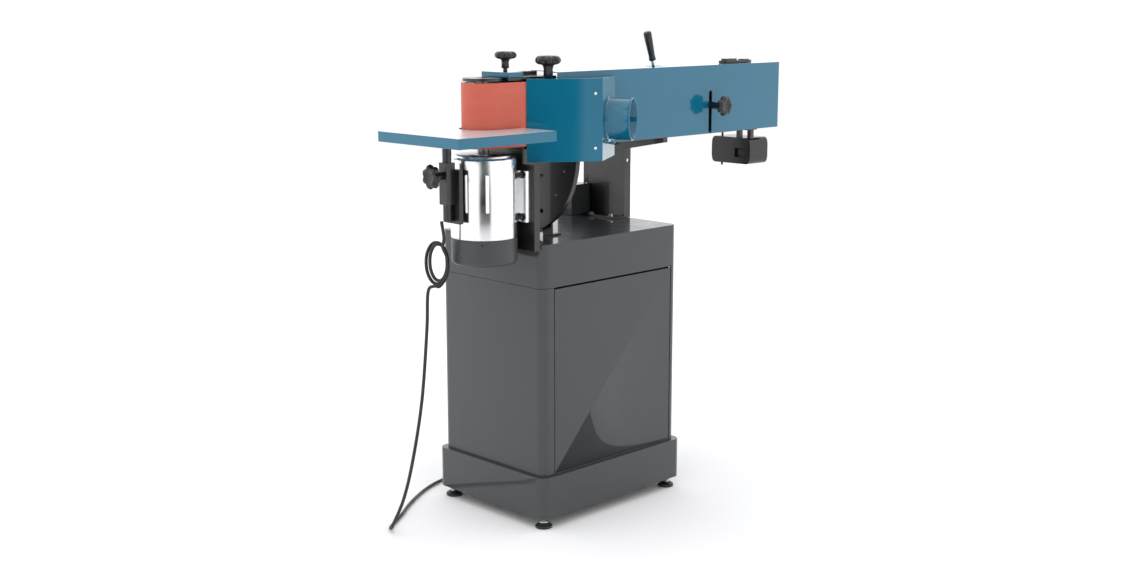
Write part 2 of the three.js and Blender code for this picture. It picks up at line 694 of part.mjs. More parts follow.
// ---------- motor and drive drum, about the drum axis ----------
function motorShell() {
  const { radius, cowlTop, shellTop, discTop } = MOTOR;
  const wall = 3.5;
  const can = turned([
    [26.3, cowlTop + GAP], [radius, cowlTop + GAP], [radius, shellTop - 3], [radius - 3, shellTop],
    [68, shellTop], [66, discTop], [SHAFT.radius + GAP, discTop], [SHAFT.radius + GAP, 914],
    [30.3, 914], [30.3, 894], [38, 894], [38, 911], [radius - wall, 911],
    [radius - wall, cowlTop + 5], [34, cowlTop + 5], [34, 752], [26.3, 752],
    [26.3, cowlTop + GAP],
  ]);
  const { thick, bottom, top } = MOTOR_FOOT;
  const footRight = PLATE.left - GAP - DRIVE_X;
  const foot = (y0, y1) => box(footRight - thick, footRight, y0, y1, bottom, top);
  const link = (y0, y1) => box(30, footRight - thick / 2, y0, y1, bottom + 6, top - 5);
  const feet = join(foot(-74.5, -24.5), foot(24.5, 74.5), link(-55, -28), link(28, 55));
  const hollow = rodZ(radius - wall + 0.5, bottom - OVER, top + OVER, 0, 0, FINE);
  return join(can, cut(feet, hollow));
}

function fanCowl() {
  const { radius, cowlBottom, cowlTop } = MOTOR;
  const [wall, round] = [3, 12];
  const profile = [[24, cowlBottom], [radius - round, cowlBottom]];
  const arcSteps = 3;
  for (let i = 1; i <= arcSteps; i += 1) {
    const angle = (Math.PI / 2) * (i / arcSteps);
    const r = radius - round + round * Math.sin(angle);
    profile.push([r, cowlBottom + round - round * Math.cos(angle)]);
  }
  profile.push(
    [radius, cowlTop], [radius - wall, cowlTop], [radius - wall, cowlBottom + round],
    [radius - round, cowlBottom + wall], [24, cowlBottom + wall], [24, cowlBottom],
  );
  return turned(profile);
}

function stator() {
  const [bore, outer, winding] = [45, MOTOR.radius - 4.3, 66];
  return turned([
    [bore, 790], [bore + 4, 790], [bore + 4, 774], [winding, 774], [winding, 790], [outer, 790],
    [outer, 870], [winding, 870], [winding, 886], [bore + 4, 886], [bore + 4, 870], [bore, 870],
    [bore, 790],
  ], MEDIUM);
}

function bearing(inner, outer, z0, z1) {
  const groove = (outer - inner) * 0.3;
  return turned([
    [inner, z0], [outer, z0], [outer, z1], [outer - groove, z1], [outer - groove, z1 - 1],
    [inner + groove, z1 - 1], [inner + groove, z1], [inner, z1], [inner, z0],
  ], MEDIUM);
}

function motorShaft() {
  const { radius, tail, bottom, top } = SHAFT;
  return turned([
    [0, bottom], [tail, bottom], [tail, 755], [radius, 757], [radius, top - 2],
    [radius - 2, top], [0, top],
  ], MEDIUM);
}

function coolingFan() {
  const hub = ring(SHAFT.tail + GAP, 17, 702, 724, COARSE);
  const disc = ring(16, 60, 720, 724, MEDIUM);
  let body = join(hub, disc);
  const blades = 8;
  for (let i = 0; i < blades; i += 1) {
    const geometry = new THREE.BoxGeometry(43, 3, 17).translate(36, 0, 712.3);
    body = body.add(solid(geometry.rotateZ((2 * Math.PI * i) / blades)));
  }
  return body;
}

function drum(hubOuter, bore) {
  const [z0, z1] = [BELT.bottom + GAP, BELT.top - GAP];
  const rim = DRUM_RADIUS - 5;
  return turned([
    [bore, z0], [hubOuter, z0], [hubOuter, z1 - 12], [rim, z1 - 12], [rim, z0],
    [DRUM_RADIUS, z0], [DRUM_RADIUS, z1], [bore, z1], [bore, z0],
  ]);
}

// ---------- idler, its carriage and the tension lever ----------
const AXLE = { radius: 12, bottom: 934, top: 1100 };
const YOKE = { left: 520, right: 536, tip: 616, bottom: 932, top: 1098, half: 29.5, armHalf: 23.5 };
const IDLER_SEAT = 26; // outside radius of the idler's bearing

function idlerDrum() {
  const seat = rodZ(IDLER_SEAT + GAP, BELT.bottom - OVER, 1046, 0, 0, MEDIUM);
  return cut(drum(34, AXLE.radius + GAP), seat);
}

// A fork round the idler on a bar that slides in the beam, with a guide rod and a pull strip.
function idlerCarriage() {
  const { left, right, tip, bottom, top, half, armHalf } = YOKE;
  const sides = (reach) => [BELT.y - reach, BELT.y + reach];
  const barLeft = 420;
  const yoke = join(
    box(barLeft, left + OVER, ...sides(half), GUIDE_Z - 29.5, GUIDE_Z + 30.5),
    box(left, right, ...sides(half), bottom, top),
    box(right - OVER, tip, ...sides(armHalf), top - 6, top),
    box(right - OVER, tip, ...sides(armHalf), bottom, bottom + 5.8),
    box(240, left + OVER, BELT.y - 15.5, BELT.y - 3.5, 1088, 1094),
  );
  return cut(
    join(yoke, rodX(GUIDE_RADIUS, 300, barLeft + OVER, BELT.y, GUIDE_Z)),
    rodZ(AXLE.radius + GAP, bottom - 2, top + 2, IDLER_X, BELT.y),
  );
}

function tensionSpring() {
  const [coils, radius, wire] = [6, 14, 2];
  const [x0, x1] = [344, 417];
  const perTurn = 8;
  const points = [];
  for (let i = 0; i <= coils * perTurn; i += 1) {
    const angle = (2 * Math.PI * i) / perTurn;
    const x = x0 + ((x1 - x0) * i) / (coils * perTurn);
    const [y, z] = [BELT.y + radius * Math.cos(angle), GUIDE_Z + radius * Math.sin(angle)];
    points.push(new THREE.Vector3(x, y, z));
  }
  return cable(new THREE.CatmullRomCurve3(points), wire, coils * perTurn, 3);
}

function tensionLever() {
  const lean = new THREE.Matrix4().makeRotationY(-LEVER.lean);
  const rod = new THREE.CylinderGeometry(5, 5, 46, 16).rotateX(Math.PI / 2).translate(0, 0, 23);
  return join(rodY(8, -7.5, 14), solid(rod.applyMatrix4(lean)));
}

function leverGrip() {
  const lean = new THREE.Matrix4().makeRotationY(-LEVER.lean);
  const [start, end] = [30, LEVER.length];
  const profile = [
    [5 + GAP, start], [8, start], [9, start + 4], [8, start + 14], [10.5, end - 12],
    [10, end - 3], [8, end], [0, end], [0, 48], [5 + GAP, 48], [5 + GAP, start],
  ];
  const points = profile.map(([r, z]) => new THREE.Vector2(r, z));
  const geometry = new THREE.LatheGeometry(points, COARSE).rotateX(Math.PI / 2);
  return solid(geometry.applyMatrix4(lean));
}

// Two bolts and a clamp plate over the idler.
function trackingBracket() {
  const [near, far] = [-140, -113];
  const middle = (near + far) / 2;
  const base = COVER.top + GAP;
  const [plateTop, boltTop, nutTop] = [base + 6.7, base + 22.7, base + 14.7];
  const bolt = (x) => join(
    rodZ(4, plateTop - OVER, boltTop, x, middle, 12),
    rodZ(7.5, plateTop - OVER, nutTop, x, middle, 6),
  );
  return join(
    box(477, 595, near, far, base, plateTop),
    box(484, 530, near + 4, far - 4, plateTop - OVER, plateTop + 5),
    bolt(522),
    bolt(570),
  );
}

// ---------- dust hood ----------
function hoodOutline(inset) {
  const normal = (a, b) => {
    const along = b.clone().sub(a).normalize();
    return new THREE.Vector2(-along.y, along.x).multiplyScalar(inset);
  };
  const bulge = new THREE.Vector2(-202, -199.5);
  const wall = new THREE.QuadraticBezierCurve(HOOD_START, bulge, HOOD_FOLD);
  const points = wall.getPoints(6).map((p, i, all) => {
    const [a, b] = i < all.length - 1 ? [p, all[i + 1]] : [all[i - 1], p];
    return p.clone().add(normal(a, b));
  });
  const first = normal(HOOD_FOLD, HOOD_CORNER);
  const second = normal(HOOD_CORNER, HOOD_END);
  const mitre = inset === 0 ? 0 : 1 / (1 + first.dot(second) / (inset * inset));
  points.push(HOOD_CORNER.clone().add(first.add(second).multiplyScalar(mitre)));
  points.push(HOOD_END.clone().add(second));
  return points;
}

function dustHood() {
  const outer = hoodOutline(0);
  const inner = hoodOutline(SKIN);
  const far = [[COVER.left - GAP * 4, HOOD_END.y], [COVER.left - GAP * 4, HOOD_START.y]];
  const lid = polygon([...outer.map((p) => [p.x, p.y]), ...far]);
  const wall = polygon([
    ...outer.map((p) => [p.x, p.y]),
    ...inner.reverse().map((p) => [p.x, p.y]),
  ]);
  const body = join(
    prismZ(wall, HOOD.bottom, HOOD.top),
    prismZ(lid, HOOD.bottom, HOOD.bottom + SKIN),
    prismZ(lid, HOOD.top - SKIN, HOOD.top),
  );
  const mouth = new THREE.CylinderGeometry(HOOD.port - SKIN, HOOD.port - SKIN, 20, FINE);
  mouth.rotateZ(Math.PI / 2).rotateZ(portAngle).translate(portBase.x, portBase.y, HOOD.portZ);
  const { x, y, screwRadius } = HOOD_KNOB;
  return cut(body, solid(mouth), rodZ(screwRadius + GAP, HOOD.top - 5, HOOD.top + OVER, x, y));
}

const portAlong = HOOD_END.clone().sub(HOOD_CORNER).normalize();
const portAngle = Math.atan2(-portAlong.x, portAlong.y);
const portBase = HOOD_CORNER.clone().add(HOOD_END).multiplyScalar(0.5);

// The spigot runs along its own +X, from the hood's end plate out.
function dustPort() {
  const { port, portLength } = HOOD;
  const tube = turned([
    [port - SKIN, 0], [port + 6, 0], [port + 6, 3], [port, 4], [port, portLength - 4],
    [port + 1.5, portLength - 2], [port, portLength], [port - SKIN, portLength], [port - SKIN, 0],
  ]);
  return tube.rotate([0, 90, 0]);
}

// ---------- end table ----------
function endTable() {
  const { left, right, near, far, notch } = END_TABLE;
  const outline = (inset) => {
    const shape = new THREE.Shape();
    const round = notch + inset;
    shape.moveTo(left + inset, near + inset);
    shape.lineTo(right - inset, near + inset);
    shape.lineTo(right - inset, BELT.y - round);
    shape.lineTo(DRIVE_X, BELT.y - round);
    shape.absarc(DRIVE_X, BELT.y, round, 1.5 * Math.PI, Math.PI / 2, true);
    shape.lineTo(right - inset, BELT.y + round);
    shape.lineTo(right - inset, far - inset);
    shape.lineTo(left + inset, far - inset);
    return shape;
  };
  const { plate, rim } = TABLE_SHEET;
  return cut(
    prismZ(outline(0), TABLE_Z.bottom, TABLE_Z.top, 8),
    prismZ(outline(rim), TABLE_Z.bottom - OVER, TABLE_Z.top - plate, 8),
  );
}

function tablePost() {
  const { radius, bottom } = POST;
  const top = TABLE_Z.top - TABLE_SHEET.plate - GAP;
  return join(rodZ(radius, bottom, top), rodZ(POST_FLANGE, TABLE_Z.bottom + 8, top));
}

function tableBracket() {
  const { sleeve, sleeveBottom, sleeveTop, radius } = POST;
  const body = join(
    box(-sleeve, sleeve, -sleeve, sleeve, sleeveBottom, sleeveTop),
    box(sleeve - OVER, sleeve + 10, -28, 28, 772, 897),
    box(sleeve + 9, 32, -10, 10, 790, 880),
  );
  return cut(
    body,
    rodZ(radius + GAP, sleeveBottom - OVER, sleeveTop + OVER),
    rodX(LOCK_KNOB.screwRadius + GAP, -sleeve - OVER, 0, 0, LOCK_KNOB.z),
  );
}

function buildHead() {
  part(head, "beam_frame", beamFrame(), "black");
  part(head, "platen", box(BEAM.left, PLATEN_RIGHT, -58.3, -50.3, 945, BEAM.top), "steel");
  part(head, "graphite_pad", box(BEAM.left, PLATEN_RIGHT, -50, -48.4, 945, BEAM.top), "graphite");
  part(head, "abrasive_belt", abrasiveBelt(), "belt");
  part(head, "back_cover", backCover(), "blue");
  part(head, "motor_plate", motorPlate(), "black");
  part(head, "tilt_quadrant", tiltQuadrant(), "black");
  part(head, "right_trunnion", rightTrunnion(), "black");
  part(head, "bearing_arm", bearingArm(), "black");
  part(head, "guard_block", guardBlock(), "blue");
  part(head, "tracking_bracket", trackingBracket(), "black");
  part(head, "switch_box", switchBox(), "black");
  const buttonY = SWITCH.far + GAP;
  const { startX, stopX, z } = BUTTON;
  part(group(head, startX, buttonY, z), "start_button", pushButton(), "green");
  part(group(head, stopX, buttonY, z), "stop_button", pushButton(), "red");
  part(head, "cord_coil", cordCoil(), "rubber");
  part(stand, "power_cord", powerCord(), "rubber");
}

function buildMotor() {
  part(motor, "motor_shell", motorShell(), "polished");
  part(motor, "fan_cowl", fanCowl(), "cowl");
  part(motor, "stator", stator(), "copper");
  part(motor, "upper_motor_bearing", bearing(SHAFT.radius + GAP, 30, 896, 911), "steel");
  part(motor, "lower_motor_bearing", bearing(SHAFT.tail + GAP, 26, 736, 750), "steel");
  part(motor, "motor_shaft", motorShaft(), "steel");
  part(motor, "rotor", ring(SHAFT.radius + GAP, 44.2, 788, 872, MEDIUM), "steel");
  part(motor, "cooling_fan", coolingFan(), "black");
  part(motor, "drive_drum", drum(26, SHAFT.radius + GAP), "steel");
}

function buildIdler() {
  part(head, "idler_carriage", idlerCarriage(), "steel");
  part(head, "tension_spring", tensionSpring(), "steel");
  part(idler, "idler_axle", rodZ(AXLE.radius, AXLE.bottom, AXLE.top), "steel");
  part(idler, "idler_drum", idlerDrum(), "steel");
  part(idler, "idler_bearing", bearing(AXLE.radius + GAP, IDLER_SEAT, 985, 1045), "steel");
  const lever = group(head, LEVER.x, LEVER.y, LEVER.z);
  part(lever, "tension_lever", tensionLever(), "polished");
  part(lever, "lever_grip", leverGrip(), "knob");
}

function buildKnobs() {
  const cover = group(head, COVER_KNOB.x, COVER.near - GAP, COVER_KNOB.z);
  cover.rotation.x = Math.PI / 2;
  part(cover, "cover_knob", handKnob(COVER_KNOB), "knob");
  const hood = group(head, HOOD_KNOB.x, HOOD_KNOB.y, HOOD.top + GAP);
  part(hood, "hood_knob", handKnob(HOOD_KNOB), "knob");
  const guard = group(head, GUARD_KNOB.x, GUARD_KNOB.y, GUARD_KNOB.z);
  part(guard, "guard_knob", handKnob(GUARD_KNOB), "knob");
  const lock = group(head, POST.x - POST.sleeve - GAP, BELT.y, LOCK_KNOB.z);
  lock.rotation.y = -Math.PI / 2;
  part(lock, "table_lock_knob", handKnob(LOCK_KNOB), "knob");
}

function buildHood() {
  part(head, "dust_hood", dustHood(), "blue");
  const port = group(head, portBase.x, portBase.y, HOOD.portZ);
  port.rotation.z = portAngle;
  port.translateX(GAP);
  part(port, "dust_port", dustPort(), "blue");
}

function buildEndTable() {
  part(head, "end_table", endTable(), "greyTop");
  const post = group(head, POST.x, BELT.y, 0);
  part(post, "table_post", tablePost(), "black");
  part(post, "table_bracket", tableBracket(), "black");
}

buildStand();
buildHead();
buildMotor();
buildIdler();
buildKnobs();
buildHood();
buildEndTable();

export default sander;
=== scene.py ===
"""Looks of an edge belt sander on a cabinet stand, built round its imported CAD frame.

Metres, +Z up. +X runs along the beam away from the drive drum, and +Y points to the operator.
Places come from the frame's boxes, and the named sizes are the real object's details.
"""
import json
import math

import bmesh
import bpy
from mathutils import Matrix, Vector


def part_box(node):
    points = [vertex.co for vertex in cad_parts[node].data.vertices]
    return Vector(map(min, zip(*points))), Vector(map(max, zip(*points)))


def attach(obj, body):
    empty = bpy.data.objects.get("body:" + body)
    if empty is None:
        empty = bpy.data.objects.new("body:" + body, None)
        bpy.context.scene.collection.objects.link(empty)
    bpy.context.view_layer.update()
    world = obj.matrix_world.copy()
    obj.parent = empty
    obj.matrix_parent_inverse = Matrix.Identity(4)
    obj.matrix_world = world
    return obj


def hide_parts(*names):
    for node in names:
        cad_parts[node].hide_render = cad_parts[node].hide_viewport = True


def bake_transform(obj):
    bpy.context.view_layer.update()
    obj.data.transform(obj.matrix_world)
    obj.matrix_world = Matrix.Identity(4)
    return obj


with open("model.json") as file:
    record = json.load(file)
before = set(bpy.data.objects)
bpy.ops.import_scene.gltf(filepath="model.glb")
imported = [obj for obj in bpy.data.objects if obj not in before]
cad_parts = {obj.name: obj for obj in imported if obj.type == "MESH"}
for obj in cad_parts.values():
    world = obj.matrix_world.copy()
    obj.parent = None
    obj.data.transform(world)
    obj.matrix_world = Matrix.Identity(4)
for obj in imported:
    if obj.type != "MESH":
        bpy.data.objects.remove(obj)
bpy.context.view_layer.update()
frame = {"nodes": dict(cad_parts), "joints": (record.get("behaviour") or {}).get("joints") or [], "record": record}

BODIES = frame["record"]["behaviour"]["bodies"]
BODY_OF = {node: body for body, nodes in BODIES.items() for node in nodes}

MM = 0.001
UP = Vector((0, 0, 1))
FINE = 96  # steps round a large turned piece
MEDIUM = 48
SMALL = 24

# ---------- sizes of the visible detail ----------
PLINTH_CORNER = 24 * MM
CABINET_CORNER = 22 * MM
SHEET = 3 * MM
DOOR_GAP = 1.2 * MM
TABLE_PLATE = 8 * MM
TABLE_RIM = 5 * MM
NOTCH = 56 * MM  # round opening of the end table, from the drum's axis
BELT_THICKNESS = 1.5 * MM
HOOD_SKIN = 2 * MM
CORD = 4 * MM
FOOT_BOLTS_Y = (10 * MM, 80 * MM)
DISC_LIFT = 0.15 * MM  # a thin disc sinks this far into the face under it


# ---------- shader nodes ----------
class Shader:
    """Builds one procedural material on a Principled shader, node by node."""

    def __init__(self, name):
        self.material = bpy.data.materials.new(name)
        self.material.use_nodes = True
        self.tree = self.material.node_tree
        self.surface = self.tree.nodes["Principled BSDF"]
        self.place = self.tree.nodes.new("ShaderNodeTexCoord").outputs["Object"]

    def link(self, source, target):
        self.tree.links.new(source, target)
        return target

    def feed(self, socket, value):
        if isinstance(value, bpy.types.NodeSocket):
            self.link(value, socket)
        elif value is not None:
            socket.default_value = value

    def noise(self, scale, detail=2.0, stretch=(1, 1, 1)):
        mapping = self.tree.nodes.new("ShaderNodeMapping")
        mapping.inputs["Scale"].default_value = stretch
        self.link(self.place, mapping.inputs["Vector"])
        node = self.tree.nodes.new("ShaderNodeTexNoise")
        node.inputs["Scale"].default_value = scale
        node.inputs["Detail"].default_value = detail
        self.link(mapping.outputs["Vector"], node.inputs["Vector"])
        return node.outputs["Fac"]

    def math(self, operation, a, b=None):
        node = self.tree.nodes.new("ShaderNodeMath")
        node.operation = operation
        self.feed(node.inputs[0], a)
        self.feed(node.inputs[1], b)
        return node.outputs[0]

    def remap(self, value, low, high, to_low, to_high):
        node = self.tree.nodes.new("ShaderNodeMapRange")
        for name, given in (
            ("Value", value), ("From Min", low), ("From Max", high),
            ("To Min", to_low), ("To Max", to_high),
        ):
            self.feed(node.inputs[name], given)
        return node.outputs["Result"]

    def mix(self, share, a, b):
        node = self.tree.nodes.new("ShaderNodeMix")
        node.data_type = "RGBA"
        self.feed(node.inputs["Factor"], share)
        self.feed(node.inputs["A"], a)
        self.feed(node.inputs["B"], b)
        return node.outputs["Result"]

    def bump(self, height, strength, distance, under=None):
        node = self.tree.nodes.new("ShaderNodeBump")
        node.inputs["Strength"].default_value = strength
        node.inputs["Distance"].default_value = distance
        self.link(height, node.inputs["Height"])
        self.feed(node.inputs["Normal"], under)
        return node.outputs["Normal"]

    def edges(self, radius):
        """Rises from 0 on a flat face to 1 on an outside or inside edge of about that radius."""
        bevel = self.tree.nodes.new("ShaderNodeBevel")
        bevel.samples = 3
        bevel.inputs["Radius"].default_value = radius
        normal = self.tree.nodes.new("ShaderNodeNewGeometry").outputs["Normal"]
        dot = self.tree.nodes.new("ShaderNodeVectorMath")
        dot.operation = "DOT_PRODUCT"
        self.link(bevel.outputs["Normal"], dot.inputs[0])
        self.link(normal, dot.inputs[1])
        return self.remap(dot.outputs["Value"], 0.99, 0.8, 0.0, 1.0)

    def set(self, **values):
        for name, value in values.items():
            self.feed(self.surface.inputs[name.replace("_", " ")], value)
        return self.material


def rgb(red, green, blue):
    return (red, green, blue, 1.0)


def paint(name, colour, worn, roughness, coat, wear=0.55, sheen=0.5):
    """Stoved enamel: faint orange peel, uneven gloss, a little dust tone and worn edges."""
    s = Shader(name)
    cloud = s.noise(7.0, 4.0)
    tone = s.mix(s.remap(cloud, 0.3, 0.7, 0.0, 0.12), rgb(*colour), rgb(*[c * 0.8 for c in colour]))
    chips = s.remap(s.noise(160.0, 5.0), 0.52, 0.62, 0.0, wear)
    tone = s.mix(s.math("MULTIPLY", s.edges(1.0 * MM), chips), tone, rgb(*worn))
    rough = s.remap(s.noise(28.0, 3.0), 0.3, 0.7, roughness * 0.85, roughness * 1.2)
    peel = s.bump(s.noise(260.0, 1.0), 0.035, 0.4 * MM)
    return s.set(
        Base_Color=tone, Roughness=rough, Coat_Weight=coat, Coat_Roughness=0.03, Normal=peel,
        Specular_IOR_Level=sheen,
    )


def turned_steel(name, colour, roughness, lines):
    """Machined or drawn metal, with fine tool lines across the given stretch."""
    s = Shader(name)
    grain = s.noise(90.0, 3.0, lines)
    tone = s.mix(s.remap(grain, 0.3, 0.7, 0.0, 0.35), rgb(*colour), rgb(*[c * 0.72 for c in colour]))
    rough = s.remap(s.noise(14.0, 3.0), 0.3, 0.7, roughness * 0.8, roughness * 1.35)
    return s.set(
        Base_Color=tone, Metallic=1.0, Roughness=rough, Normal=s.bump(grain, 0.05, 0.15 * MM),
    )


def moulded(name, colour, roughness, grain=0.06, scale=900.0):
    """Moulded plastic or rubber: fine texture, uneven sheen, edges rubbed a little lighter."""
    s = Shader(name)
    cloud = s.noise(30.0, 3.0)
    lighter = rgb(*[c * 1.6 + 0.01 for c in colour])
    tone = s.mix(s.remap(cloud, 0.3, 0.7, 0.0, 0.25), rgb(*colour), lighter)
    rubbed = s.math("MULTIPLY", s.edges(0.8 * MM), s.remap(s.noise(220.0, 3.0), 0.45, 0.6, 0.0, 0.4))
    tone = s.mix(rubbed, tone, lighter)
    rough = s.remap(cloud, 0.3, 0.7, roughness * 0.8, roughness * 1.25)
    return s.set(
        Base_Color=tone, Roughness=rough, Normal=s.bump(s.noise(scale, 2.0), grain, 0.15 * MM),
    )


def abrasive_cloth():
    """Salmon grit bonded to a cloth belt: coarse sparkle, pale rubbed patches and a lapped joint."""
    s = Shader("abrasive_cloth")
    grit = s.noise(1500.0, 3.0)
    tone = s.mix(s.remap(grit, 0.35, 0.65, 0.0, 1.0), rgb(0.5, 0.09, 0.055), rgb(0.62, 0.14, 0.095))
    streak = s.remap(s.noise(24.0, 3.0, (0.15, 0.15, 1.6)), 0.45, 0.75, 0.0, 0.22)
    tone = s.mix(streak, tone, rgb(0.68, 0.2, 0.15))
    axes = s.tree.nodes.new("ShaderNodeSeparateXYZ")
    s.link(s.place, axes.inputs[0])
    lap = s.math("ADD", axes.outputs["X"], s.math("MULTIPLY", axes.outputs["Z"], 0.6))
    seam = s.remap(s.math("ABSOLUTE", s.math("SUBTRACT", lap, 0.72)), 0.0012, 0.0022, 0.55, 0.0)
    tone = s.mix(seam, tone, rgb(0.33, 0.06, 0.045))
    return s.set(
        Base_Color=tone, Roughness=0.88, Sheen_Weight=0.15,
        Normal=s.bump(grit, 0.5, 0.35 * MM),
    )


def graphite_cloth():
    """Slippery graphite cloth glued to the platen, with an open weave."""
    s = Shader("graphite_cloth")
    weave = s.math("MULTIPLY", s.noise(700.0, 1.0, (1, 1, 0.2)), s.noise(700.0, 1.0, (0.2, 1, 1)))
    tone = s.mix(s.remap(weave, 0.15, 0.4, 0.0, 1.0), rgb(0.012, 0.012, 0.013), rgb(0.05, 0.05, 0.055))
    return s.set(Base_Color=tone, Roughness=0.6, Metallic=0.2, Normal=s.bump(weave, 0.4, 0.3 * MM))


def ground_plate():
    """Table top: pale ground face with straight grinding lines and faint stains."""
    s = Shader("table_metal")
    lines = s.noise(60.0, 4.0, (0.05, 3.0, 1.0))
    stain = s.remap(s.noise(9.0, 5.0), 0.45, 0.7, 0.0, 0.25)
    tone = s.mix(s.remap(lines, 0.35, 0.65, 0.0, 0.4), rgb(0.74, 0.75, 0.76), rgb(0.6, 0.61, 0.62))
    tone = s.mix(stain, tone, rgb(0.5, 0.5, 0.5))
    rough = s.remap(lines, 0.3, 0.7, 0.22, 0.38)
    return s.set(
        Base_Color=tone, Metallic=0.55, Roughness=rough, Normal=s.bump(lines, 0.04, 0.1 * MM),
    )


def motor_iron():
    """Laminations, windings and castings inside: dark, rough and slightly varnished."""
    s = Shader("motor_iron")
    lams = s.noise(320.0, 2.0, (0.1, 0.1, 4.0))
    tone = s.mix(s.remap(lams, 0.35, 0.65, 0.0, 1.0), rgb(0.09, 0.075, 0.06), rgb(0.2, 0.13, 0.08))
    return s.set(Base_Color=tone, Metallic=0.6, Roughness=0.5, Normal=s.bump(lams, 0.3, 0.3 * MM))


FINISH = {
    "blue_paint": paint("blue_paint", (0.0, 0.125, 0.213), (0.18, 0.24, 0.27), 0.3, 1.0, sheen=0.1),
    "cabinet_paint": paint("cabinet_paint", (0.046, 0.051, 0.053), (0.2, 0.2, 0.2), 0.36, 0.7, 0.35, 0.1),
    "black_paint": paint("black_paint", (0.008, 0.008, 0.009), (0.16, 0.15, 0.14), 0.34, 0.35),
    "black_plastic": moulded("black_plastic", (0.008, 0.008, 0.009), 0.2, 0.03),
    "polished_metal": turned_steel("polished_metal", (0.9, 0.905, 0.91), 0.17, (1, 1, 0.02)),
    "machined_steel": turned_steel("machined_steel", (0.62, 0.63, 0.64), 0.3, (1, 1, 1)),
    "motor_iron": motor_iron(),
    "cowl_plastic": moulded("cowl_plastic", (0.036, 0.039, 0.041), 0.42),
    "table_metal": ground_plate(),
    "abrasive_cloth": abrasive_cloth(),
    "graphite_cloth": graphite_cloth(),
    "black_rubber": moulded("black_rubber", (0.009, 0.009, 0.009), 0.38, 0.1),
    "green_plastic": moulded("green_plastic", (0.01, 0.25, 0.04), 0.25),
    "red_plastic": moulded("red_plastic", (0.45, 0.01, 0.01), 0.25),
}


# ---------- meshes ----------
def prism(outline, bottom, top):
    """A closed solid with that outline, a list of (x, y), between two heights."""
    bm = bmesh.new()
    low = [bm.verts.new((x, y, bottom)) for x, y in outline]
    high = [bm.verts.new((x, y, top)) for x, y in outline]
    bm.faces.new(list(reversed(low)))
    bm.faces.new(high)
    count = len(outline)
    for i in range(count):
        j = (i + 1) % count
        bm.faces.new((low[i], low[j], high[j], high[i]))
    bmesh.ops.recalc_face_normals(bm, faces=bm.faces)
    return bm


def block(low, high):
    return prism(
        [(low[0], low[1]), (high[0], low[1]), (high[0], high[1]), (low[0], high[1])],
        low[2], high[2],
    )


def lathe(profile, steps=FINE, shape=None):
    """A profile of (radius, height) turned about +Z. shape(angle, row) scales the radius."""
    bm = bmesh.new()
    rows = []
    for row, (radius, height) in enumerate(profile):
        if radius < 1e-7:
            rows.append([bm.verts.new((0, 0, height))])
            continue
        ring = []
        for i in range(steps):
            angle = 2 * math.pi * i / steps
            r = radius * (shape(angle, row) if shape else 1.0)
            ring.append(bm.verts.new((r * math.cos(angle), r * math.sin(angle), height)))
        rows.append(ring)
    closed = len(rows[0]) > 1 and len(rows[-1]) > 1
    pairs = list(zip(rows, rows[1:])) + ([(rows[-1], rows[0])] if closed else [])
    for a, b in pairs:
        for i in range(steps):
            j = (i + 1) % steps
            corners = [a[i % len(a)], a[j % len(a)], b[j % len(b)], b[i % len(b)]]
            unique = list(dict.fromkeys(corners))
            if len(unique) > 2:
                bm.faces.new(unique)
    bmesh.ops.recalc_face_normals(bm, faces=bm.faces)
    return bm


def turned(rows, steps=SMALL):
    """A lathed solid with its profile given in millimetres."""
    return lathe([(r * MM, z * MM) for r, z in rows], steps)


def rod(radius, length, steps=SMALL):
    return lathe([(0, 0), (radius, 0), (radius, length), (0, length)], steps)


def placed(bm, at, along=UP):
    """Turns a mesh built along +Z to run along another direction, and moves it there."""
    turn = Vector(along).normalized().to_track_quat("Z", "Y").to_matrix().to_4x4()
    bm.transform(Matrix.Translation(Vector(at)) @ turn)
    return bm


def upright_at(bm, at):
    bm.transform(Matrix.Translation(Vector(at)))
    return bm


def merged(*meshes):
    """Several closed meshes in one."""
    whole = bmesh.new()
    for bm in meshes:
        mesh = bpy.data.meshes.new("part")
        bm.to_mesh(mesh)
        bm.free()
        whole.from_mesh(mesh)
        bpy.data.meshes.remove(mesh)
    return whole


def linked(name, bm, material=None):
    """An object in the scene made from that mesh, which is freed."""
    mesh = bpy.data.meshes.new(name)
    bm.to_mesh(mesh)
    bm.free()
    if material:
        mesh.materials.append(material)
    obj = bpy.data.objects.new(name, mesh)
    bpy.context.scene.collection.objects.link(obj)
    return obj


def boolean(base, operation, *others):
    """base joined with, or cut by, each of the other meshes."""
    target = linked("solid", base)
    tools = [linked("solid", bm) for bm in others]
    for tool in tools:
        step = target.modifiers.new("solid", "BOOLEAN")
        step.operation = operation
        step.solver = "EXACT"
        step.object = tool
    result = bmesh.new()
    bpy.context.view_layer.update()
    result.from_object(target, bpy.context.evaluated_depsgraph_get())
    for obj in [target, *tools]:
        mesh = obj.data
        bpy.data.objects.remove(obj)
        bpy.data.meshes.remove(mesh)
    bmesh.ops.remove_doubles(result, verts=result.verts, dist=1e-6)
    bmesh.ops.dissolve_limit(
        result, angle_limit=math.radians(0.5), verts=result.verts, edges=result.edges
    )
    return result


def cut(base, *others):
    return boolean(base, "DIFFERENCE", *others)


def fuse(base, *others):
    return boolean(base, "UNION", *others)


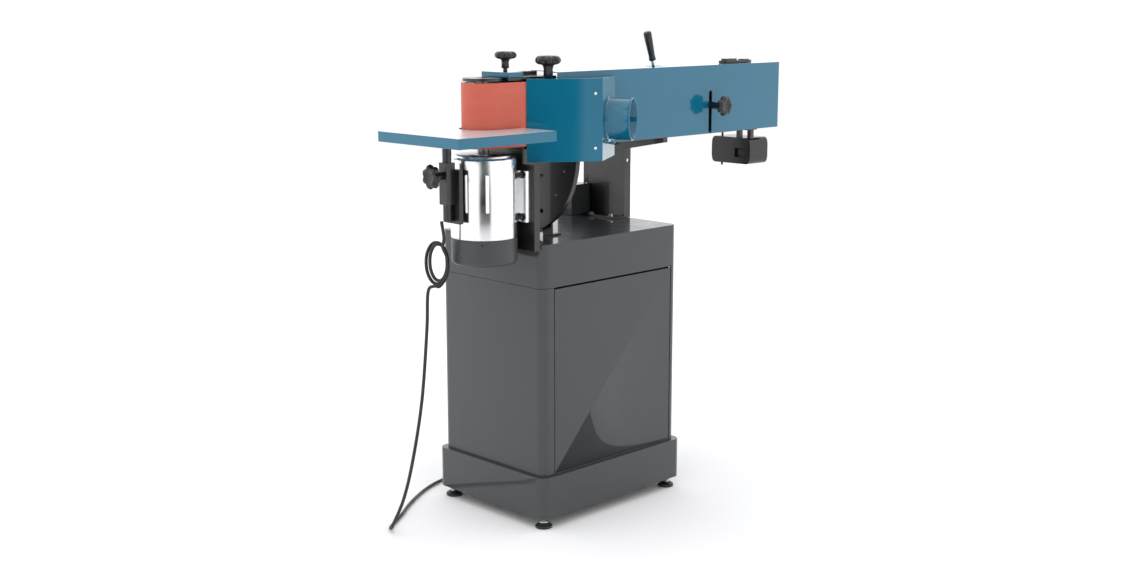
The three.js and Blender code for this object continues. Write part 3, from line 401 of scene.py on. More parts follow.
def smooth_curve(points, per_span):
    """Points along a Catmull-Rom curve through the given ones."""
    p = [Vector(q) for q in points]
    p = [2 * p[0] - p[1], *p, 2 * p[-1] - p[-2]]
    out = []
    for i in range(1, len(p) - 2):
        for k in range(per_span):
            t = k / per_span
            a, b, c, d = p[i - 1], p[i], p[i + 1], p[i + 2]
            out.append(0.5 * (
                2 * b + (c - a) * t + (2 * a - 5 * b + 4 * c - d) * t * t
                + (3 * b - a - 3 * c + d) * t ** 3
            ))
    return out + [p[-2]]


def sweep(points, radius, sides=12):
    """A round bar along a line of points, with domed ends."""
    bm = bmesh.new()
    side = Vector((1, 0, 0))
    rings = []
    for i, point in enumerate(points):
        along = (points[min(i + 1, len(points) - 1)] - points[max(i - 1, 0)]).normalized()
        side = (side - along * side.dot(along)).normalized()
        other = along.cross(side)
        ring = []
        for k in range(sides):
            angle = 2 * math.pi * k / sides
            offset = side * math.cos(angle) + other * math.sin(angle)
            ring.append(bm.verts.new(point + offset * radius))
        rings.append(ring)
    for a, b in zip(rings, rings[1:]):
        for k in range(sides):
            j = (k + 1) % sides
            bm.faces.new((a[k], a[j], b[j], b[k]))
    bm.faces.new(list(reversed(rings[0])))
    bm.faces.new(rings[-1])
    bmesh.ops.recalc_face_normals(bm, faces=bm.faces)
    return bm


def piece(name, bm, body, slot, stands_for=(), edge=0.0, segments=2, sharp=32.0, top=None):
    """Makes a mesh a visible piece of a body. edge rounds its sharp edges by that much.
    top, if given, is the slot of its upward faces."""
    obj = linked(name, bm, FINISH[slot])
    mesh = obj.data
    if top:
        mesh.materials.append(FINISH[top])
        highest = max(v.co.z for v in mesh.vertices)
        for face in mesh.polygons:
            if face.normal.z > 0.99 and face.center.z > highest - 0.1 * MM:
                face.material_index = 1
    mesh.shade_smooth()
    mesh.set_sharp_from_angle(angle=math.radians(sharp))
    if edge:
        rounding = obj.modifiers.new("edge", "BEVEL")
        rounding.width = edge
        rounding.segments = segments
        rounding.limit_method = "ANGLE"
        rounding.angle_limit = math.radians(30)
        rounding.harden_normals = True
    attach(obj, body)
    if stands_for:
        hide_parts(*stands_for)
    return obj


def refined(node, slot, edge=0.8 * MM, **options):
    """A CAD node's own shape, with its flat faces whole and its edges rounded."""
    bm = bmesh.new()
    bm.from_mesh(frame["nodes"][node].data)
    bmesh.ops.remove_doubles(bm, verts=bm.verts, dist=2e-6)
    bmesh.ops.dissolve_limit(
        bm, angle_limit=math.radians(0.5), verts=bm.verts, edges=bm.edges
    )
    return piece(f"{node}_shape", bm, BODY_OF[node], slot, [node], edge, **options)


def centre(node):
    low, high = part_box(node)
    return (low + high) / 2


HOME = Vector((centre("cabinet_top").x, centre("cabinet_top").y, 0))  # floor under the cabinet


def spot(x, y, z):
    """A place given in millimetres from the floor under the middle of the cabinet."""
    return HOME + Vector((x, y, z)) * MM


# ---------- fasteners ----------
def hex_head(across, height):
    """Hexagon head with a washer face and chamfered corners."""
    outline = [
        (across / math.sqrt(3) * math.cos(math.pi / 3 * i), across / math.sqrt(3) * math.sin(math.pi / 3 * i))
        for i in range(6)
    ]
    head = prism(outline, 0, height)
    crown = lathe([
        (0, -1 * MM), (across, -1 * MM), (across, height * 0.5), (across * 0.5, height), (0, height),
    ], SMALL)
    return boolean(head, "INTERSECT", crown)


def bolt(name, at, along, body, slot="black_plastic", across=10 * MM, height=5 * MM, washer=True):
    """A hexagon bolt head on a washer, standing on a face at that point."""
    parts = [placed(hex_head(across, height), Vector(at) + Vector(along) * (1.2 * MM), along)]
    if washer:
        parts.append(placed(rod(across * 0.85, 1.4 * MM), at, along))
    piece(name, merged(*parts), body, slot, edge=0.3 * MM, segments=1)


def dome_screw(name, at, along, body, slot="polished_metal", radius=3.6 * MM):
    """A domed cross-recess screw head."""
    steps = 6
    dome = [(radius * math.cos(math.pi / 2 * i / steps), radius * 0.55 * math.sin(math.pi / 2 * i / steps))
            for i in range(steps)]
    head = lathe([(0, 0), *dome, (0, radius * 0.55)], SMALL)
    arm = radius * 0.55
    slit = radius * 0.13
    deep = radius * 0.25
    cross = [block((-arm, -slit, deep), (arm, slit, radius)), block((-slit, -arm, deep), (slit, arm, radius))]
    piece(name, placed(cut(head, *cross), at, along), body, slot)


# ---------- cabinet stand ----------
def rounded_outline(low, high, radius, steps=10):
    corners = (
        (high.x - radius, high.y - radius, 0), (low.x + radius, high.y - radius, 90),
        (low.x + radius, low.y + radius, 180), (high.x - radius, low.y + radius, 270),
    )
    points = []
    for x, y, start in corners:
        for i in range(steps + 1):
            angle = math.radians(start + 90 * i / steps)
            points.append((x + radius * math.cos(angle), y + radius * math.sin(angle)))
    return points


def rounded_prism(low, high, radius, inset=0.0, bottom=None, top=None):
    shrink = Vector((inset, inset, 0))
    outline = rounded_outline(low + shrink, high - shrink, radius - inset)
    return prism(outline, low.z if bottom is None else bottom, high.z if top is None else top)


def make_plinth():
    low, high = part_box("plinth")
    inner = rounded_prism(low, high, PLINTH_CORNER, SHEET, low.z - SHEET, high.z - SHEET)
    shell = cut(rounded_prism(low, high, PLINTH_CORNER), inner)
    pads = []
    reach = 34 * MM
    for foot in ("left_back", "left_front", "right_back", "right_front"):
        middle = centre(f"foot_{foot}")
        pad_low = Vector((middle.x - reach, middle.y - reach, 33 * MM))
        pad_high = Vector((middle.x + reach, middle.y + reach, 38 * MM))
        pad_low.x = max(pad_low.x, low.x + SHEET / 2)
        pad_low.y = max(pad_low.y, low.y + SHEET / 2)
        pad_high.x = min(pad_high.x, high.x - SHEET / 2)
        pad_high.y = min(pad_high.y, high.y - SHEET / 2)
        corner = boolean(
            block(pad_low, pad_high), "INTERSECT",
            rounded_prism(low, high, PLINTH_CORNER, SHEET / 2, low.z, high.z),
        )
        hole = upright_at(rod(6.4 * MM, 0.02), (middle.x, middle.y, 28 * MM))
        pads.append(cut(corner, hole))
    piece("plinth_box", fuse(shell, *pads), "stand", "cabinet_paint", ["plinth"], 1.6 * MM, 3)


def make_cabinet():
    low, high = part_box("cabinet_shell")
    door_low, door_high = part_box("cabinet_door")
    outer = rounded_prism(low, high, CABINET_CORNER)
    inner = rounded_prism(low, high, CABINET_CORNER, SHEET, low.z + SHEET, high.z + SHEET)
    opening = block(
        (door_low.x - 0.6 * MM, low.y - SHEET, door_low.z - 0.6 * MM),
        (door_high.x + 0.6 * MM, low.y + 1.3 * SHEET, high.z + SHEET),
    )
    shell = cut(outer, inner, opening)
    piece("cabinet_body", shell, "stand", "cabinet_paint", ["cabinet_shell"], 0.8 * MM)
    low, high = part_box("cabinet_top")
    inner = rounded_prism(low, high, CABINET_CORNER, SHEET, low.z - SHEET, high.z - SHEET)
    cap = cut(rounded_prism(low, high, CABINET_CORNER), inner)
    piece("cabinet_cap", cap, "stand", "cabinet_paint", ["cabinet_top"], 1.4 * MM, 3)


def make_door():
    """A folded sheet door with its lips turned in and a rolled hinge barrel."""
    low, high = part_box("cabinet_door")
    pin_low, pin_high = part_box("door_hinge_pin")
    pin = (pin_low + pin_high) / 2
    nose = high.x - pin.x
    lip = 21 * MM
    left = low.x + DOOR_GAP
    bottom = low.z + DOOR_GAP
    top = high.z - DOOR_GAP
    panel = block((left, low.y, bottom), (pin.x, low.y + 2 * MM, top))
    lips = [
        block((left, low.y, bottom), (left + 2 * MM, low.y + lip, top)),
        block((pin.x - 8 * MM, low.y, bottom), (pin.x - 6 * MM, low.y + lip, top)),
        block((left, low.y, top - 2 * MM), (pin.x - 6 * MM, low.y + lip, top)),
        block((left, low.y, bottom), (pin.x - 6 * MM, low.y + lip, bottom + 2 * MM)),
    ]
    barrel = upright_at(rod(nose, high.z - low.z, MEDIUM), (pin.x, low.y + nose, low.z))
    bore = upright_at(rod(2.8 * MM, 1, SMALL), (pin.x, low.y + nose, low.z - 0.1))
    door = cut(fuse(panel, barrel, *lips), bore)
    piece("door_panel", door, "door", "cabinet_paint", ["cabinet_door"], 0.7 * MM)
    length = pin_high.z - pin_low.z
    steel = upright_at(rod(2.5 * MM, length), (pin.x, pin.y, pin_low.z))
    piece("door_pin", steel, "stand", "machined_steel", ["door_hinge_pin"], 0.4 * MM)


def thread(radius, bottom, top, pitch=1.5 * MM):
    """Profile of a threaded stud, as rings of crests and roots."""
    turns = int((top - bottom) / pitch)
    rows = []
    for i in range(turns):
        rows.append((radius, bottom + i * pitch))
        rows.append((radius * 0.87, bottom + (i + 0.5) * pitch))
    return rows


def make_foot(name):
    """A levelling foot: rubber pad with a swivel cup, threaded stud and lock nut."""
    at = centre(name)
    at.z = 0
    pad = [
        (0, 0), (18.5, 0), (20.6, 1), (21, 2.6), (21, 5.4), (20.2, 7), (18, 8.2), (14.6, 10.6),
        (13.4, 12.4), (12.4, 13.6), (7, 13.9), (0, 13.9),
    ]
    rubber = turned(pad, MEDIUM)
    piece(f"{name}_pad", upright_at(rubber, at), name, "black_rubber", [name], 0)
    cup = turned([(0, 13.4), (11, 13.4), (11.4, 14.4), (10.4, 16.4), (7.4, 17.4), (0, 17.4)], MEDIUM)
    piece(f"{name}_cup", upright_at(cup, at), name, "machined_steel")
    stud = lathe([(0, 16 * MM), *thread(6 * MM, 17 * MM, 60 * MM), (0, 60 * MM)], SMALL)
    piece(f"{name}_stud", upright_at(stud, at), name, "machined_steel", sharp=20)
    nut = upright_at(hex_head(19 * MM, 7.6 * MM), at + Vector((0, 0, 24 * MM)))
    piece(f"{name}_nut", nut, name, "machined_steel", edge=0.4 * MM)


def make_stand():
    make_plinth()
    make_cabinet()
    make_door()
    for foot in ("left_back", "left_front", "right_back", "right_front"):
        make_foot(f"foot_{foot}")
    for node in ("left_upright", "right_upright", "left_table_rail", "right_table_rail"):
        refined(node, "black_paint", 1.0 * MM)
    refined("junction_box", "cabinet_paint", 1.6 * MM, segments=3)
    refined("index_bracket", "black_paint", 0.8 * MM)
    for node in ("left_pivot_bolt", "right_pivot_bolt"):
        refined(node, "machined_steel", 0.6 * MM)
    low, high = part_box("junction_box")
    inset = 7 * MM
    for i, x in enumerate((low.x + inset, high.x - inset)):
        for k, y in enumerate((low.y + inset, high.y - inset)):
            dome_screw(f"box_screw_{2 * i + k + 1}", (x, y, high.z - 0.2 * MM), UP, "stand", radius=3 * MM)
    for side, node in (("left", "left_upright"), ("right", "right_upright")):
        low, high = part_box(node)
        x = high.x - 8 * MM if side == "left" else low.x + 8 * MM
        for k, y in enumerate(FOOT_BOLTS_Y):
            base = low.z + 5 * MM
            bolt(f"{side}_foot_bolt_{k + 1}", (x, y, base), UP, "stand", "machined_steel", 10 * MM)


def make_index_pin():
    """Spring plunger that locks the tilt: steel pin with a knurled pull knob."""
    low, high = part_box("index_pin")
    middle = (low + high) / 2
    length = high.x - low.x
    grip = 12 * MM
    profile = [
        (0, 0), (4, 0), (5, 1.6), (5, 32), (8, 32.4), (11, 33.4), (12, 34.6), (12, 41), (11, 43.4),
        (8, 44.6), (0, 45),
    ]
    scale = length / (45 * MM)
    knurl = 36

    def grooves(angle, row):
        return 1.0 - (0.035 * (1 - math.cos(knurl * angle)) / 2 if row in (6, 7) else 0.0)

    bm = lathe([(min(r * MM, grip), z * MM * scale) for r, z in profile], 144, grooves)
    bm = placed(bm, (low.x, middle.y, middle.z), (1, 0, 0))
    piece("index_plunger", bm, "index_pin", "machined_steel", ["index_pin"], sharp=40)


# ---------- tables ----------
def table_shell(outline, inner, low, high):
    return cut(prism(outline, low, high), prism(inner, low - 1 * MM, high - TABLE_PLATE))


def make_work_table():
    low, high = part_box("work_table")
    outline = rounded_outline(low, high, 3 * MM, 4)
    rim = Vector((TABLE_RIM, TABLE_RIM, 0))
    inner = rounded_outline(low + rim, high - rim, 3 * MM, 4)
    plate = table_shell(outline, inner, low.z, high.z)
    piece("work_table_plate", plate, "stand", "blue_paint", ["work_table"], 1.0 * MM, 3, top="table_metal")


def notch_outline(low, high, drum, grow):
    """The end table's outline, with its round opening about the drum, drawn in by grow."""
    radius = NOTCH + grow
    right = high.x - grow
    points = [(low.x + grow, low.y + grow), (right, low.y + grow), (right, drum.y - radius)]
    steps = 40
    for i in range(steps + 1):
        angle = math.radians(270 - 180 * i / steps)
        points.append((drum.x + radius * math.cos(angle), drum.y + radius * math.sin(angle)))
    points += [(right, drum.y + radius), (right, high.y - grow), (low.x + grow, high.y - grow)]
    return points


def make_end_table():
    low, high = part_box("end_table")
    drum = centre("drive_drum")
    plate = table_shell(
        notch_outline(low, high, drum, 0), notch_outline(low, high, drum, TABLE_RIM), low.z, high.z
    )
    piece("end_table_plate", plate, "end_table", "blue_paint", ["end_table"], 1.0 * MM, 3, top="table_metal")
    low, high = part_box("table_post")
    middle = (low + high) / 2
    radius = 10.5 * MM
    height = high.z - low.z
    post = lathe([
        (0, 0), (radius - 1.5 * MM, 0), (radius, 1.5 * MM), (radius, height - 8 * MM),
        (20 * MM, height - 8 * MM), (20 * MM, height), (0, height),
    ], MEDIUM)
    post = upright_at(post, (middle.x, middle.y, low.z))
    piece("table_post_bar", post, "end_table", "black_paint", ["table_post"], 0.4 * MM)


# ---------- knobs ----------
def star_knob(name, node, along, radius, lobes, depth, head, stem_radius, screw, screw_radius):
    """Lobed clamping knob with a dished crown, on a round stem with its screw below."""
    low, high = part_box(node)
    middle = (low + high) / 2
    axis = Vector(along)
    reach = abs((high - low).dot(axis))
    base = middle - axis * (reach / 2 - screw)
    length = reach - screw
    rise = length - head
    rows = [
        (0, -screw, 0), (screw_radius - 0.8 * MM, -screw, 0), (screw_radius, -screw + 0.8 * MM, 0),
        (screw_radius, 0, 0), (stem_radius - 0.8 * MM, 0, 0), (stem_radius, 0.8 * MM, 0),
        (stem_radius * 0.94, rise * 0.7, 0), (stem_radius * 1.1, rise - 1 * MM, 0),
        (radius * 0.5, rise + head * 0.04, 0.4), (radius * 0.78, rise + head * 0.12, 0.9),
        (radius * 0.93, rise + head * 0.26, 1), (radius, rise + head * 0.45, 1),
        (radius * 0.99, rise + head * 0.62, 1), (radius * 0.93, rise + head * 0.8, 1),
        (radius * 0.82, rise + head * 0.93, 1), (radius * 0.68, rise + head, 0.9),
        (radius * 0.52, rise + head * 0.97, 0.5), (radius * 0.4, rise + head * 0.88, 0.15),
        (radius * 0.34, rise + head * 0.86, 0), (0, rise + head * 0.86, 0),
    ]

    def lobing(angle, row):
        wave = (1 - math.cos(lobes * angle)) / 2
        return 1.0 - depth * rows[row][2] * wave ** 1.6

    bm = lathe([(r, z) for r, z, _ in rows], lobes * 18, lobing)
    piece(name, placed(bm, base, axis), BODY_OF[node], "black_plastic", [node], sharp=50)


def make_knobs():
    for name, node, along, radius, lobes, depth, head, stem, screw, screw_radius in (
        ("cover_knob_star", "cover_knob", (0, -1, 0), 27, 7, 0.17, 18, 9, 26, 5),
        ("hood_knob_star", "hood_knob", (0, 0, 1), 31, 7, 0.2, 22, 11.5, 9, 4),
        ("guard_knob_star", "guard_knob", (0, 0, 1), 27, 5, 0.34, 18, 9, 24, 5),
        ("lock_knob_star", "table_lock_knob", (-1, 0, 0), 29, 7, 0.18, 20, 9, 2, 4),
    ):
        star_knob(
            name, node, along, radius * MM, lobes, depth, head * MM, stem * MM, screw * MM,
            screw_radius * MM,
        )


# ---------- motor ----------
def make_motor():
    low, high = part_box("motor_shell")
    cowl_low, cowl_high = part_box("fan_cowl")
    axis = centre("fan_cowl")
    radius = (cowl_high.x - cowl_low.x) / 2
    bottom, top = low.z, high.z
    shell_top = top - 6 * MM
    wall = 3.5 * MM
    bore = 14.4 * MM
    can = lathe([
        (26.3 * MM, bottom), (radius - 0.6 * MM, bottom), (radius, bottom + 0.8 * MM),
        (radius, shell_top - 4 * MM), (radius - 0.8 * MM, shell_top - 1.8 * MM),
        (radius - 2.6 * MM, shell_top - 0.4 * MM), (radius - 5 * MM, shell_top),
        (69 * MM, shell_top), (67.4 * MM, shell_top + 1 * MM), (66.4 * MM, top - 1 * MM),
        (65.4 * MM, top - 0.3 * MM), (64 * MM, top), (bore, top), (bore, 914 * MM),
        (30.3 * MM, 914 * MM), (30.3 * MM, 894 * MM), (38 * MM, 894 * MM), (38 * MM, 911 * MM),
        (radius - wall, 911 * MM), (radius - wall, bottom + 5 * MM), (34 * MM, bottom + 5 * MM),
        (34 * MM, 752 * MM), (26.3 * MM, 752 * MM),
    ], 144)
    can = upright_at(can, (axis.x, axis.y, 0))
    piece("motor_can", can, "head", "polished_metal", ["motor_shell"], sharp=28)
    disc = lathe([
        (19 * MM, 0), (64.6 * MM, 0), (65 * MM, 0.3 * MM), (64.6 * MM, 0.5 * MM), (24 * MM, 0.5 * MM),
        (19 * MM, 0.5 * MM),
    ], FINE)
    piece("motor_end_disc", upright_at(disc, (axis.x, axis.y, top - DISC_LIFT)), "head", "cabinet_paint")
    make_motor_pad(axis, radius)
    make_motor_feet(high.x, axis, radius)
    make_cowl(cowl_low, cowl_high, axis, radius)
    for node in ("stator", "rotor"):
        refined(node, "motor_iron", 0.5 * MM)
    for node in ("upper_motor_bearing", "lower_motor_bearing", "motor_shaft"):
        refined(node, "machined_steel", 0.3 * MM, segments=1)
    refined("cooling_fan", "black_plastic", 0.5 * MM, segments=1)


def make_motor_pad(axis, radius):
    """Flat raised pad on the can, for a rating plate that is left blank."""
    facing = math.radians(216)
    out = Vector((math.cos(facing), math.sin(facing), 0))
    across = Vector((-out.y, out.x, 0))
    half_width, half_height, middle = 29 * MM, 45 * MM, 840 * MM
    reach = 3 * MM
    rows = ((-20 * MM, 1.0), (-1.2 * MM, 1.0), (0, 0.965))
    bm = bmesh.new()
    rings = []
    for lift, share in rows:
        ring = []
        for x, y in rounded_outline(
            Vector((-half_width * share, -half_height * share, 0)),
            Vector((half_width * share, half_height * share, 0)), 4 * MM, 5,
        ):
            at = axis + across * x + out * (radius - reach + lift)
            ring.append(bm.verts.new((at.x, at.y, middle + y)))
        rings.append(ring)
    for a, b in zip(rings, rings[1:]):
        for i in range(len(a)):
            j = (i + 1) % len(a)
            bm.faces.new((a[i], a[j], b[j], b[i]))
    bm.faces.new(rings[-1])
    bm.faces.new(list(reversed(rings[0])))
    bmesh.ops.recalc_face_normals(bm, faces=bm.faces)
    piece("motor_pad", bm, "head", "polished_metal", edge=0.5 * MM)


def make_motor_feet(right, axis, radius):
    """Two machined feet that bolt the can to its mounting plate."""
    plate_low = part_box("motor_plate")[0]
    hollow = upright_at(rod(radius - 3 * MM, 0.3, FINE), (axis.x, axis.y, 0.7))
    z0, z1 = 764 * MM, 885 * MM
    solids = []
    for y0, y1, l0, l1 in ((-171, -121, -151.5, -124.5), (-72, -22, -68.5, -41.5)):
        foot = block((right - 16 * MM, y0 * MM, z0), (right, y1 * MM, z1))
        link = block((axis.x + 30 * MM, l0 * MM, z0 + 6 * MM), (right - 8 * MM, l1 * MM, z1 - 5 * MM))
        solids.append(fuse(foot, link))
    feet = cut(fuse(*solids), hollow)
    piece("motor_feet", feet, "head", "polished_metal", edge=1.5 * MM, segments=3)
    inset = 9 * MM
    face = right - 16 * MM
    for k, z in enumerate((z1 - inset, z0 + inset + 3 * MM)):
        for side, y in (("near", -158 * MM), ("far", -36 * MM)):
            bolt(f"motor_bolt_{side}_{k + 1}", (face, y, z), (-1, 0, 0), "head", "black_plastic", 11 * MM)
    web = plate_low.x + 4 * MM
    # the lower stud is short, so that it clears the cabinet's top when the head tilts
    for k, (z, tail) in enumerate(((867 * MM, 54 * MM), (768 * MM, 15 * MM))):
        at = (web, -150 * MM, z)
        screw = lathe([(0, 0), *thread(4 * MM, 0, tail), (0, tail)], SMALL)
        nut = hex_head(13 * MM, 6.5 * MM)
        washer = rod(11 * MM, 1.6 * MM)
        upright_at(nut, (0, 0, 1.6 * MM))
        piece(
            f"motor_stud_{k + 1}", placed(merged(screw, nut, washer), at, (1, 0, 0)),
            "head", "black_plastic", sharp=25,
        )


def make_cowl(low, high, axis, radius):
    """Fan cowl with a rounded bottom rim and ring slots for the air."""
    bottom, top = low.z, high.z
    round_ = 12 * MM
    wall = 3 * MM
    steps = 12
    rim = []
    for i in range(steps + 1):
        angle = math.pi / 2 * i / steps
        rim.append((radius - round_ + round_ * math.sin(angle), bottom + round_ - round_ * math.cos(angle)))
    profile = [
        (24 * MM, bottom), *rim, (radius, top - 0.8 * MM), (radius - 0.8 * MM, top),
        (radius - wall, top), (radius - wall, bottom + round_),
        (radius - round_, bottom + wall), (24 * MM, bottom + wall),
    ]
    cowl = lathe(profile, 144)
    slots = []
    count = 16
    for i in range(count):
        slot = block((34 * MM, -2.2 * MM, -5 * MM), (58 * MM, 2.2 * MM, 5 * MM))
        slot.transform(Matrix.Rotation(2 * math.pi * i / count, 4, "Z"))
        upright_at(slot, (0, 0, bottom + wall / 2))
        slots.append(slot)
    cowl = cut(cowl, merged(*slots))
    piece("motor_cowl", upright_at(cowl, (axis.x, axis.y, 0)), "head", "cowl_plastic", ["fan_cowl"], sharp=30)
    for i in range(3):
        angle = math.radians(105 + 120 * i)
        out = Vector((math.cos(angle), math.sin(angle), 0))
        at = Vector((axis.x, axis.y, top - 9 * MM)) + out * (radius - 0.4 * MM)
        dome_screw(f"cowl_screw_{i + 1}", at, out, "head", "black_plastic", 3 * MM)


# ---------- belt, drums and beam ----------
def stadium(drive, idler, radius, steps=40):
    """The belt's path: two half rounds and two straight runs."""
    points = []
    for i in range(steps + 1):
        angle = math.radians(-90 + 180 * i / steps)
        points.append((idler.x + radius * math.cos(angle), idler.y + radius * math.sin(angle)))
    for i in range(steps + 1):
        angle = math.radians(90 + 180 * i / steps)
        points.append((drive.x + radius * math.cos(angle), drive.y + radius * math.sin(angle)))
    return points


def make_belt():
    low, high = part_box("abrasive_belt")
    drive = centre("drive_drum")
    idler = centre("idler_drum")
    radius = (high.y - low.y) / 2
    loop = cut(
        prism(stadium(drive, idler, radius), low.z, high.z),
        prism(stadium(drive, idler, radius - BELT_THICKNESS), low.z - 1 * MM, high.z + 1 * MM),
    )
    piece("sanding_belt", loop, "head", "abrasive_cloth", ["abrasive_belt"], 0.3 * MM, 1)


def make_drum(name, node, hub, bore):
    """A turned drum: thin rim, end web with a shallow dish, and a bored hub."""
    low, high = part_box(node)
    middle = (low + high) / 2
    radius = (high.x - low.x) / 2
    length = high.z - low.z
    rim = radius - 5 * MM
    web = 12 * MM
    profile = [
        (bore, 0), (hub, 0), (hub, length - web), (rim, length - web), (rim, 0.8 * MM),
        (rim + 0.8 * MM, 0), (radius - 1 * MM, 0), (radius, 1 * MM), (radius, length - 1 * MM),
        (radius - 1 * MM, length), (radius - 6 * MM, length), (radius - 7 * MM, length - 1.6 * MM),
        (bore + 7 * MM, length - 1.6 * MM), (bore + 6 * MM, length), (bore, length),
    ]
    bm = upright_at(lathe(profile, FINE), (middle.x, middle.y, low.z))
    piece(name, bm, BODY_OF[node], "machined_steel", [node], sharp=28)


def make_beam():
    for node, slot, edge, segments in (
        ("beam_frame", "black_paint", 0.9, 2), ("platen", "machined_steel", 0.5, 2),
        ("graphite_pad", "graphite_cloth", 0.3, 1), ("idler_drum", "machined_steel", 0.6, 2),
        ("idler_bearing", "machined_steel", 0.3, 1), ("idler_axle", "machined_steel", 0.8, 2),
        ("idler_carriage", "machined_steel", 0.8, 2), ("tension_spring", "machined_steel", 0, 2),
        ("back_cover", "blue_paint", 0.9, 3), ("motor_plate", "black_paint", 1.0, 2),
        ("tilt_quadrant", "black_paint", 1.0, 2), ("right_trunnion", "black_paint", 1.0, 2),
        ("bearing_arm", "black_paint", 0.9, 2), ("guard_block", "blue_paint", 1.4, 3),
        ("table_bracket", "black_paint", 1.2, 3),
    ):
        refined(node, slot, edge * MM, segments=segments)
    make_belt()
    make_drum("drive_drum_turned", "drive_drum", 26 * MM, 14.3 * MM)


def make_tracking():
    """Clamp plates over the idler, with two tracking bolts standing up."""
    low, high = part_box("tracking_bracket")
    y0, y1 = low.y, high.y
    base = low.z
    middle_y = (y0 + y1) / 2

    def plate(x0, x1, inset, radius, bottom, top):
        near, far = Vector((x0, y0 + inset, 0)), Vector((x1, y1 - inset, 0))
        return prism(rounded_outline(near, far, radius, 6), base + bottom, base + top)

    lower = plate(low.x, high.x, 0, 9 * MM, 0, 6.7 * MM)
    upper = plate(low.x + 7 * MM, low.x + 58 * MM, 3 * MM, 8 * MM, 6 * MM, 11.7 * MM)
    small = plate(low.x + 78 * MM, high.x - 6 * MM, 4 * MM, 8 * MM, 6 * MM, 9.4 * MM)
    piece("tracking_plates", fuse(lower, upper, small), "head", "black_paint", ["tracking_bracket"], 0.8 * MM)
    for k, x in enumerate((low.x + 45 * MM, low.x + 93 * MM)):
        top = high.z
        start = base + (11.5 * MM if k == 0 else 9.2 * MM)
        nut = hex_head(12 * MM, 5 * MM)
        reach = top - start
        rows = thread(4 * MM, 0.1 * MM, reach - 1.2 * MM)
        screw = lathe([(0, 0), *rows, (3.2 * MM, reach), (0, reach)], SMALL)
        bm = upright_at(merged(nut, screw), (x, middle_y, start))
        piece(f"tracking_bolt_{k + 1}", bm, "head", "polished_metal", sharp=25)


def make_lever():
    """Quick-release lever: plated rod with a moulded grip, leaning back over the cover."""
    rod_low, rod_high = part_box("tension_lever")
    joint = next(j for j in frame["joints"] if j["name"] == "tension_lever")
    pivot = Vector(joint["pos_m"])
    lean = math.radians(17)
    along = Vector((-math.sin(lean), 0, math.cos(lean)))
    length = 105 * MM
    start = 30 * MM
    stem = placed(rod(5 * MM, 45 * MM, MEDIUM), pivot, along)
    barrel = placed(rod(8 * MM, rod_high.y - rod_low.y, MEDIUM), (pivot.x, rod_low.y, pivot.z), (0, 1, 0))
    piece("tension_lever_rod", fuse(barrel, stem), "lever", "polished_metal", ["tension_lever"], 0.8 * MM, 3)
    foot = start / MM
    rows = [(5.4, foot), (8, foot), (8.9, foot + 2), (9.1, foot + 5), (8.2, foot + 8)]
    ribs = 9
    for i in range(ribs):
        z = foot + 11 + i * 5.4
        swell = 8.1 + 2.1 * i / (ribs - 1)
        rows += [(swell + 0.25, z), (swell - 0.35, z + 2.7)]
    end = length / MM
    rows += [(10.4, end - 9), (10.2, end - 4), (9.2, end - 1.2), (7.4, end), (0, end)]
    grip = turned([(0, 47.5), (5.4, 47.5), *rows], MEDIUM)
    grip = placed(grip, pivot, along)
    piece("lever_grip_moulding", grip, "lever", "black_plastic", ["lever_grip"], sharp=50)


